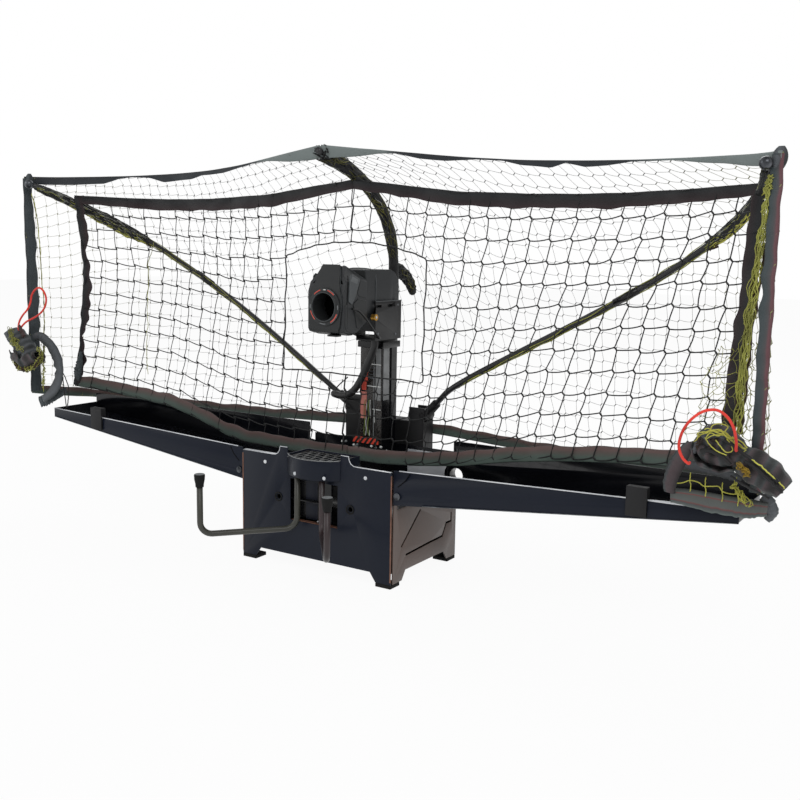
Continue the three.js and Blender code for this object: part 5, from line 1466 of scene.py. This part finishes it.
def make_left_rolls():
    body = roll("left_upper_roll", ((-806, -30, 396), (-797, -30, 390), (-784, -30, 379), (-770, -30, 368),
                                    (-757, -30, 358), (-745, -30, 350)), (15, 21, 24, 23, 20, 12), 25, 2.3,
                hem_slate, 1)
    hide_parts("left_net_bundle")
    roll("left_lower_roll", ((-782, -34, 360), (-770, -35, 349), (-753, -35, 343), (-735, -34, 344),
                             (-718, -31, 352)), (14, 21, 25, 24, 17), 24, 1.8, hem_rolled, 4)


def make_left_straps():
    facing_strip("left_curved_strap", LEFT_CURVE, (14, 20, 25, 28, 28, 26, 22, 17), hem_slate, 90,
                 flutter=0.5)
    facing_strip("left_trough_strap", ((-764, 0, 243), (-742, 2, 250), (-716, 8, 262), (-688, 14, 276)),
                 (24, 26, 20, 14), hem_left, 91)
    facing_strip("left_side_strap", ((-694, 60, 356), (-699, 60, 334), (-708, 62, 312), (-716, 64, 292)),
                 (10, 20, 26, 22), hem_left, 92)
    facing_strip("left_red_tab", ((-776, -36, 414), (-768, -37, 402), (-757, -38, 390)), (6, 14, 12),
                 hem_dark, 93, thickness=4)


def make_left_yarns():
    tangle("left_yellow_lumps", ((-788, -50, 408), (-780, -53, 398), (-772, -55, 386), (-762, -55, 374),
                                 (-748, -52, 364)), 7, 16, 0.6, net_yellow, 11, 0.25)
    tangle("left_dark_fringe", LEFT_FRINGE, 4, 30, 1.1, net_brown, 19, 0.2)
    tangle("left_yellow_fringe", LEFT_FRINGE, 5, 40, 0.65, net_yellow, 12, 0.16)
    yarn("left_yellow_yarn_a", LEFT_YARN, 0.9, net_yellow, 1.2, 3)
    yarn("left_yellow_yarn_b", [(x - 1.5, y + 1, z) for x, y, z in LEFT_YARN], 0.8, net_brown, 1.4, 8,
         slot="net_yellow")
    tangle("left_yarn_knots", ((-741, 0, 400), (-742, 0, 345), (-746, 0, 292), (-748, 0, 272)), 3, 16, 0.7,
           net_yellow, 13, 0.15)
    for index, route in enumerate(LEFT_TIES):
        yarn(f"left_tie_{index + 1}", route, 1.1, net_black, 0.6, index)
    yarn("left_hanging_yarn", LEFT_HANGING, 0.6, net_yellow, 1.5, 12)


RIGHT_FOLDS = (
    (((744, -59, 346), (760, -60, 338), (778, -60, 326), (798, -59, 312), (818, -56, 296)), 2.8),
    (((712, -56, 326), (726, -58, 328), (742, -59, 322), (756, -59, 312)), 3.0),
    (((756, -56, 296), (772, -59, 288), (792, -58, 280), (808, -55, 272)), 1.8),
)
RIGHT_ROW = ((664, -8, 264), (676, -8, 266), (686, -8, 271), (700, -8, 270), (706, -8, 266), (718, -8, 267),
             (728, -8, 268), (734, -8, 262), (746, -8, 260), (758, -8, 261), (768, -8, 253))
RIGHT_RIM = ((704, -59, 338), (712, -61, 350), (726, -62, 357), (742, -62, 356), (756, -61, 348),
             (768, -60, 338), (776, -58, 330))
RIGHT_YARN_BENDS = (
    ((719, 346), (726, 337), (737, 329), (750, 325)),
    ((734, 344), (741, 336), (749, 329), (757, 332), (755, 340), (748, 348)),
    ((721, 346), (726, 355), (728, 363), (737, 367), (749, 364), (746, 358), (737, 350), (727, 353),
     (722, 349)),
    ((721, 344), (730, 350), (741, 352), (755, 350), (768, 346), (776, 338)),
)
RIGHT_RIDGE = ((776, -60, 326), (788, -62, 321), (802, -61, 311), (815, -58, 300), (826, -52, 288))
RIGHT_GATHER = ((740, 24, 340), (742, 24, 400), (744, 24, 470), (751, 20, 540), (759, 12, 610), (767, 3, 680),
                (769, 1, 700))
RIGHT_GATHER_YARNS = ((1.0, 2.5), (0.9, 3), (1.0, 2), (0.8, 3), (0.9, 2.6), (0.8, 2.2))
RIGHT_DROPS = ((687, 271), (709, 267), (733, 263), (755, 260))
MOUTH_MIDDLE = (722, -50, 333)
MOUTH_HALF_SIZE = (13, 14)


def make_right_rolls():
    body = roll("right_upper_roll", ((709, -30, 337), (719, -31, 340), (732, -31, 338), (746, -31, 330),
                                     (760, -30, 320)), (14, 22, 25, 22, 18), 26, 2.3, hem_rolled, 2)
    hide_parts("right_net_bundle")
    roll("right_lower_roll", ((752, -30, 322), (766, -30, 314), (784, -30, 304), (802, -30, 293),
                              (820, -30, 280)), (17, 24, 28, 26, 17), 28, 2.3, hem_rolled, 6)
    roll("right_mouth_roll", ((708, -38, 336), (713, -41, 324), (724, -43, 318), (740, -43, 316),
                              (758, -40, 314)), (12, 18, 21, 20, 14), 20, 1.6, hem_rolled, 8)


def make_right_mouth():
    """The mouth of the upper roll, with dark yarns round it as painted shade in its hollow, and the folds of
    cloth about it.
    """
    x, depth, z = MOUTH_MIDDLE
    wide, high = MOUTH_HALF_SIZE
    turns = np.linspace(0, 2 * math.pi, 14)
    mouth = [(x + wide * math.cos(a), depth, z + high * math.sin(a)) for a in turns]
    # Dark yarns round the mouth: painted shade in the roll's hollow.
    tangle("right_mouth_shade", mouth, 3, 14, 2.2, net_brown, 21)
    facing_strip("right_mouth_fold", ((700, -44, 318), (706, -50, 334), (716, -54, 346), (732, -56, 352),
                                      (752, -56, 344)), (6, 12, 14, 14, 8), hem_slate, 98, flutter=1.2)
    for index, (route, thick) in enumerate(RIGHT_FOLDS):
        yarn(f"right_dark_fold_{index + 1}", route, thick, net_black, 0.8, 110 + index)


def make_right_straps():
    facing_strip("right_hanging_strap", ((690, -24, 330), (682, -23, 318), (671, -21, 298), (664, -20, 280),
                                         (660, -18, 262), (660, -14, 250)), (12, 18, 24, 22, 20, 17),
                 hem_rolled, 94, flutter=0.6)
    facing_strip("right_trough_strap", ((658, -5, 245), (690, -5, 244), (720, -5, 242), (752, -5, 241),
                                        (778, -5, 242), (797, -3, 244)), (22, 27, 29, 29, 27, 20), hem_trough,
                 95, flutter=0.35)
    facing_strip("right_upper_strap", ((664, 24, 287), (700, 24, 285), (730, 22, 281), (752, 20, 275)),
                 (14, 17, 16, 10), hem_slate, 96)
    facing_strip("right_end_fold", ((786, 2, 262), (795, 8, 248), (798, 12, 234), (790, 16, 222)),
                 (16, 24, 24, 14), hem_slate, 97, face=(0.7, -0.7, 0))


def make_right_yarns():
    yarn("right_yellow_row", RIGHT_ROW, 0.85, net_bright, 0.3, 5)
    for index, (x, z) in enumerate(RIGHT_DROPS):
        drop = ((x, -8, z + 12), (x, -8, z), (x + 1.5, -8, z - 8), (x + 1, -8, z - 16))
        yarn(f"right_yellow_drop_{index + 1}", drop, 0.75, net_bright, 0.3, index)
    tangle("right_yellow_lumps", ((750, -14, 288), (752, -16, 272), (762, -16, 260), (772, -16, 252),
                                  (784, -18, 256)), 5, 8, 0.75, net_bright, 14, 0.5)
    tangle("right_mouth_yarn", RIGHT_RIM, 2.5, 7, 0.75, net_bright, 15, 0.5)
    for index, route in enumerate(RIGHT_YARN_BENDS):
        yarn(f"right_yarn_bend_{index + 1}", [(x, -61, z) for x, z in route], 0.8, net_bright, 0.3,
             50 + index)
    yarn("right_ridge_yarn", RIGHT_RIDGE, 1.0, net_bright, 1.0, 9)
    # A thick black yarn just below the ridge yarn: painted shade in the slit along the ridge.
    yarn("right_ridge_shade_yarn", [(x - 3, y, z - 6) for x, y, z in RIGHT_RIDGE], 2.4, net_black, 1.2, 10)
    tangle("right_ridge_lumps", ((762, -60, 320), (770, -62, 312), (778, -62, 304), (784, -60, 296)), 4, 9,
           0.8, net_ochre, 16, 0.5)


def make_right_gather():
    """The bunch of yarns that hangs from the corner down to the roll, with slack netting beside it."""
    for index, (thick, wander) in enumerate(RIGHT_GATHER_YARNS):
        route = []
        for x, y, z in RIGHT_GATHER:
            shift = index * (1.2 if z > 600 else 2.6)
            route.append((x - 5 + shift, y - 0.8 * shift, z))
        yarn(f"right_gather_yarn_{index + 1}", route, thick, net_yellow, wander, 30 + index, 9)
    for index, shift in enumerate((-5, 0, 5)):
        route = [(x + shift, y + 4, z) for x, y, z in RIGHT_GATHER[:5]]
        yarn(f"right_gather_core_{index + 1}", route, 2.6, net_brown, 1.5, 40 + index)
    tangle("right_gather_tangle", RIGHT_GATHER, 6, 34, 0.65, net_yellow, 17, 0.25)
    loose_net("right_yellow_netting", ((668, 30, 330), (748, 34, 330), (752, 34, 470), (704, 30, 455)),
              6, 9, 0.4, 4.0, net_yellow, 72)
    loose_net("right_end_netting", ((752, 20, 340), (776, 8, 330), (778, 8, 470), (760, 20, 470)),
              3, 9, 0.5, 2.5, net_yellow, 73)


for make_part in (make_left_rolls, make_left_straps, make_left_yarns, make_right_rolls, make_right_mouth,
                  make_right_straps, make_right_yarns, make_right_gather):
    make_part()


# Throwing head: shell, mask, cheeks and nozzle ring
TILT_Z = 487
HEAD_FRONT = 34
HEAD_HALF_WIDTH = 40
MASK = 2.6
BORE_RADIUS = 25
BEZEL_SIDES = 64
HEAD_SIDE_VIEW = ((HEAD_FRONT, 447), (HEAD_FRONT + 4, 441), (58, 435), (68, 435), (80, 443), (107, 459),
                  (107, 537), (84, 548), (62, 560), (HEAD_FRONT + 19, 560), (HEAD_FRONT, 514))
HEAD_FRONT_VIEW = ((-33, 434), (33, 434), (40, 441), (40, 531), (29, 546), (22, 561), (-22, 561), (-29, 546),
                   (-40, 531), (-40, 441))
HEAD_ROOM = ((-34, 446), (34, 446), (34, 528), (20, 545), (-20, 545), (-34, 528))
MASK_SIDE_VIEW = ((HEAD_FRONT - MASK, 447), (HEAD_FRONT + 4 - MASK, 440), (HEAD_FRONT + 8, 442),
                  (HEAD_FRONT + 1, 448), (HEAD_FRONT + 1, 513), (HEAD_FRONT + 20, 560),
                  (HEAD_FRONT + 16, 563), (HEAD_FRONT + 15.5, 562), (HEAD_FRONT - MASK, 515))
MASK_FRONT_VIEW = ((-30, 441), (28, 441), (33, 452), (36, 478), (36, 508), (27, 532), (25, 545), (19, 563),
                   (-19, 563), (-25, 545), (-27, 532), (-36, 508), (-36, 466), (-34, 450))
HEAD_PLATES = (
    ("cheek", ((47, 497), (50, 541), (57, 546), (82, 537), (70, 508), (57, 491)), 1.8, cheek_plastic_and_highlight),
    ("rear_cheek", ((86, 536), (105, 532), (105, 501), (80, 506), (75, 511)), 0.9, shell_plastic),
    ("wedge", ((62, 492), (78, 502), (105, 497), (105, 463), (79, 447), (74, 449)), 1.3, mask_plastic),
    ("jaw", ((38, 493), (44, 492), (56, 486), (70, 446), (62, 439), (44, 444), (38, 452)), 0.7,
     shell_plastic),
)
# Lines on each side of the head: a dark seam, and painted highlights along the mask's and the crown's edges.
HEAD_EDGES = (
    ("head_seam", ((40.2, 44, 449), (40.3, 44.5, 470), (40.3, 43.5, 493), (40.3, 46, 530), (36.5, 50, 543)),
     0.6, seam_black),
    ("mask_lit_edge", ((18.5, 51, 563), (24.6, 45.5, 546), (27, 41, 532), (35.6, 32.8, 508),
                       (36.1, 31.6, 480)), 0.55, cheek_plastic_and_highlight),
    ("crown_lit_edge", ((22, 56, 560.6), (22.4, 63, 560), (29.3, 84, 547.4), (35, 106, 536.4)), 0.6,
     cheek_plastic_and_highlight),
)
BEZEL_PROFILE = ((-30, 24.6), (0.4, 24.6), (4.2, 24.8), (5.2, 25.6), (5.4, 26.6), (4.8, 27.6), (3.4, 28.0),
                 (3.0, 28.6), (2.9, 33.0), (2.4, 34.0), (0, 34.2), (-1.5, 34.2), (-1.5, 27), (-30, 27))
THROAT_PROFILE = ((-34, 0.5), (-34, 24.4), (-33, 24.5), (-32, 0.5))
# Marks on the nozzle ring, as middle angle, spread, half width and material, on its face and on its rim
FACE_MARKS = ((60, 30, 0.8, red_paint), (120, 30, 0.8, red_paint), (212, 34, 0.8, red_paint),
              (318, 38, 0.9, red_paint), (88, 10, 0.8, white_paint), (0, 14, 1.0, worn_rubber_and_glint),
              (180, 14, 1.0, worn_rubber_and_glint), (265, 24, 0.8, worn_rubber_and_glint))
RIM_MARKS = ((60, 34, 0.35, worn_rubber_and_glint), (318, 42, 0.35, worn_rubber_and_glint))


def oval(x, z, radius):
    turns = np.linspace(0, 2 * math.pi, 49)[:-1]
    return [(x + radius * math.cos(a), z + radius * math.sin(a)) for a in turns]


def make_head():
    side_view = side_prism(HEAD_SIDE_VIEW, -60, 60)
    front_view = front_prism(HEAD_FRONT_VIEW, 20, 120)
    room = front_prism(HEAD_ROOM, 40, 130)
    bore = front_prism(oval(0, TILT_Z, BORE_RADIUS), 20, 60)
    shell = carved("head_casing", side_view,
                   [("INTERSECT", front_view), ("DIFFERENCE", room), ("DIFFERENCE", bore)],
                   shell_plastic, "head", 2.6, 4)
    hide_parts("head_shell")
    carved("head_mask", side_prism(MASK_SIDE_VIEW, -60, 60),
           [("INTERSECT", front_prism(MASK_FRONT_VIEW, 10, 90)), ("DIFFERENCE", bore)],
           mask_plastic, "head", 1.1, 3)
    for side, sign in SIDES:
        for name, outline, proud, material in HEAD_PLATES:
            near, far = sorted((sign * (HEAD_HALF_WIDTH - 0.4), sign * (HEAD_HALF_WIDTH + proud)))
            data = side_prism(outline, near, far)
            piece = outward(add_piece(f"{side}_head_{name}", *data, material, "head", "head_plastic"))
            soften(piece, 0.8, 3)
        for name, route, radius, material in HEAD_EDGES:
            edge = [at(sign * x, depth, z) for x, depth, z in route]
            tube(f"{side}_{name}", edge, radius * MM, material, "head", "head_plastic", 8)
        # A paler plate high on each cheek: a painted highlight.
        near, far = sorted((sign * 41.5, sign * 42.1))
        data = side_prism(((52, 534), (58, 542), (76, 536), (72, 528)), near, far)
        glint = outward(add_piece(f"{side}_cheek_glint", *data, worn_rubber_and_glint, "head", "head_plastic"))
        soften(glint, 0.3)
    block("elbow_front_lid", (-34.2, 107.8, 514), (34.2, 109.3, 550.2), mask_plastic, "head", "head_plastic",
          0.4)
    block("head_under_tab", (-4, 44, 432.6), (18, 58, 436), gloss_plastic, "head", "black_plastic", 0.8)


def make_nozzle():
    face = at(0, HEAD_FRONT - MASK, TILT_Z)
    points = lathe_data(BEZEL_PROFILE, face, FORWARD, BEZEL_SIDES)[0]
    rings = len(BEZEL_PROFILE)
    faces = [(i * BEZEL_SIDES + s, i * BEZEL_SIDES + (s + 1) % BEZEL_SIDES,
              (i + 1) % rings * BEZEL_SIDES + (s + 1) % BEZEL_SIDES, (i + 1) % rings * BEZEL_SIDES + s)
             for i in range(rings) for s in range(BEZEL_SIDES)]
    ring = outward(add_piece("nozzle_bezel", points, faces, mask_plastic, "head", "black_plastic"))
    soften(ring, 0.25, 2, 50)
    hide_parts("nozzle_ring")
    # A pale line round the bore's lip: a painted highlight.
    lip = [at(25.7 * math.cos(a), HEAD_FRONT - MASK - 5.2, TILT_Z + 25.7 * math.sin(a))
           for a in np.linspace(0, 2 * math.pi, 65)]
    tube("nozzle_lip_highlight", lip, 0.45 * MM, cheek_plastic_and_highlight, "head", "head_plastic", 6)
    front = HEAD_FRONT - MASK - 3.15
    marks = [(30.8, *mark) for mark in FACE_MARKS] + [(32.9, *mark) for mark in RIM_MARKS]
    for index, (radius, middle, spread, width, material) in enumerate(marks):
        arc = np.radians(np.linspace(middle - spread / 2, middle + spread / 2, 14))
        outline = [((radius + width) * math.cos(a), (radius + width) * math.sin(a)) for a in arc]
        outline += [((radius - width) * math.cos(a), (radius - width) * math.sin(a)) for a in arc[::-1]]
        data = plate_data(outline, 0.6, lambda a, b, c: at(a, front + c, TILT_Z + b))
        outward(add_piece(f"nozzle_mark_{index + 1}", *data, material, "head", "head_plastic", False))
    # A black disc deep in the bore: painted shade inside the head.
    lathe("nozzle_shade_disc", THROAT_PROFILE, face, FORWARD, shade_black, "head", "black_plastic")


make_head()
make_nozzle()


# Painted highlights on the elbow's ridge and the yoke's edges, yoke screws and the tilt knob's core
CHEEK_OUTSIDE = 43
ELBOW_RIDGE = ((37.2, 436), (37.3, 500), (37.2, 538), (34, 549), (26, 553.4), (-26, 553.4), (-34, 549),
               (-37.2, 538), (-37.3, 500), (-37.2, 436))
KNOB_CORE_PROFILE = ((9.2, 0.4), (9.4, 2.4), (9.9, 2.6), (10.2, 1.6), (10.3, 0.4))


def make_yoke_trim():
    # A pale line round the elbow housing: a painted highlight along its ridge.
    ridge = [at(x, 139, z) for x, z in ELBOW_RIDGE]
    tube("elbow_ridge_highlight", smooth_path(ridge, 4), 1.0 * MM, cheek_plastic_and_highlight, "head", "head_plastic", 8)
    for side, sign in SIDES:
        for index, (depth, z) in enumerate(((207, 486), (140, 434), (200, 430))):
            screw(f"{side}_yoke_screw_{index + 1}", sign * CHEEK_OUTSIDE, depth, z, (sign, 0, 0), 2.4,
                  post_metal_and_glint, "yoke")
        middle = sign * CHEEK_OUTSIDE
        inner, outer = (0.4, 0.5) if sign > 0 else (0.5, 0.4)
        block(f"{side}_yoke_lit_edge", (middle - inner, 131, 493.6), (middle + outer, 219, 495),
              cheek_plastic_and_highlight, "yoke", "black_plastic", 0.2)
    lathe("tilt_knob_core", KNOB_CORE_PROFILE, at(CHEEK_OUTSIDE, 120, 466), (1, 0, 0), white_steel_and_highlight,
          "tilt_knob", "brass", 20)


make_yoke_trim()


# Column: clear lift tube with its bands, inner workings, side strips and foot
COLUMN_FRONT = 181.1
COLUMN_BANDS = ((394, -3, 11), (369, -6, 24), (326, -8, 24), (281, 3, 24))
COLUMN_RED_STRIPS = (
    (352, 374, -11, 5, red_faded), (337, 351, -20, 13, red_paint), (318, 335, -21, 11, red_paint),
    (290, 315, -23, 14, red_faded), (262, 288, -23.5, 13, red_faded),
)
COLUMN_FITTINGS = ((-58, 212), (-49, 213), (-30, 208), (-22, 209), (12, 210), (22, 208), (34, 211))
FITTING_PROFILE = ((0, 2.6), (2.5, 2.6), (3.2, 2.0), (3.4, 0.4))
FUNNEL_PROFILE = ((0, 13), (6, 13.6), (14, 17), (24, 20), (30, 20.6), (30, 19), (24, 18.2), (14, 15.4),
                  (6, 12.2), (0, 11.6))
FOOT_WIRE = ((-30, 206), (-10, 203), (8, 201), (22, 204), (36, 203), (46, 207))
HARNESS_TIE = ((-86, 306), (-80, 314), (-70, 324), (-58, 333), (-46, 342))


def column_box(name, low, high, material, slot="black_plastic"):
    block(f"column_{name}", low, high, material, "base", slot, 0.4)


def make_column():
    front = COLUMN_FRONT
    column_box("silver_strip_and_glint", (11.5, front - 1.0, 300), (23.5, front - 0.1, 401), silver_strip_and_glint, "steel")
    column_box("side_strip", (25.1, 186, 300), (25.9, 206, 404), silver_strip_and_glint, "steel")
    column_box("side_rail", (25.1, 212, 214), (27.4, 231, 412), steel_black)
    column_box("face_rail", (6.6, front - 1.1, 216), (8.6, front - 0.1, 401), worn_rubber_and_glint)
    for index, (z, low, high) in enumerate(COLUMN_BANDS):
        column_box(f"band_{index + 1}", (low, front - 1.6, z), (high, front - 0.2, z + 1.8), white_paint)
    for index, (low, high, x, wide, material) in enumerate(COLUMN_RED_STRIPS):
        column_box(f"red_strip_{index + 1}", (x, front - 1.2, low), (x + wide, front - 0.2, high), material)
    for index, z in enumerate((362, 355, 349, 342)):
        column_box(f"louvre_{index + 1}", (-6, front - 1.4, z), (8, front - 0.3, z + 1.6), post_metal_and_glint)
    column_box("white_post", (9, front - 1.5, 256), (10.6, front - 0.2, 281), white_paint)
    draw = random.Random(77)
    for index in range(6):
        x = -12 + 3.1 * index
        wire = [at(x + draw.uniform(-2, 2), front - 2.0 - draw.uniform(0, 1), z)
                for z in (300, 286, 270, 255, 240, 228)]
        tube(f"column_wire_{index + 1}", smooth_path(wire, 4), draw.uniform(0.7, 1.2) * MM,
             (wire_green, white_paint, cable_black)[index % 3], "base", "cable", 6)
    block("column_hazard_plate", (-36, front - 8, 214), (24, front - 6.6, 226), hazard_paint)
    for index, (x, z) in enumerate(COLUMN_FITTINGS):
        lathe(f"column_fitting_{index + 1}", FITTING_PROFILE, at(x, front - 12, z), (0, -0.7, 0.7),
              (white_paint, worn_rubber_and_glint)[index % 2], "base", "steel", 16)
    wire = [at(x, front - 10, z) for x, z in FOOT_WIRE]
    tube("column_foot_wire", smooth_path(wire, 5), 1.3 * MM, white_paint, "base", "cable", 8)
    lathe("column_funnel", FUNNEL_PROFILE, at(-10, 206, 371), (0, 0, 1), smoke_plastic, "base", "clear_cover",
          40)
    tail = [at(x, 176 - 2 * step, z) for step, (x, z) in enumerate(HARNESS_TIE)]
    tube("harness_tie_tail", smooth_path(tail, 4), 1.2 * MM, cable_black, "base", "cable", 6)


make_column()


# Loose end of the net behind the centre pole
TAIL_ROUTE = ((0, 262, 556), (0, 272, 552), (0, 286, 545), (0, 300, 537), (0, 314, 526), (0, 324, 512),
              (0, 329, 500))


def around_tail(share, angle):
    return np.interp(share, (0, 0.3, 0.7, 1), (9.5, 10.5, 9, 6)) * MM


def make_tail():
    points = placed(smooth_path(TAIL_ROUTE, 6))
    count = len(points)
    radius = spread_along(count, ((0, 0.3, 0.7, 0.92, 1), (9, 10, 8.5, 7.5, 5)))
    tail = tube("net_end_gather", points, radius * (1 + 0.12 * wobble(count, 5)) * MM, net_black, "base",
                "net_black", 16)
    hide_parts("net_tail")
    strands("net_end_strands", points, repeated(16, (0, 360), 3, 0.02, 0.99, 1.8, 0.3, 91), around_tail,
            net_black, "base", 8)
    strands("net_end_yarn", points, repeated(6, (0, 360), 5, 0.05, 0.9, 0.7, 0.3, 92),
            lambda share, angle: around_tail(share, angle) + 1.2 * MM, net_olive, "base", 9)


make_tail()
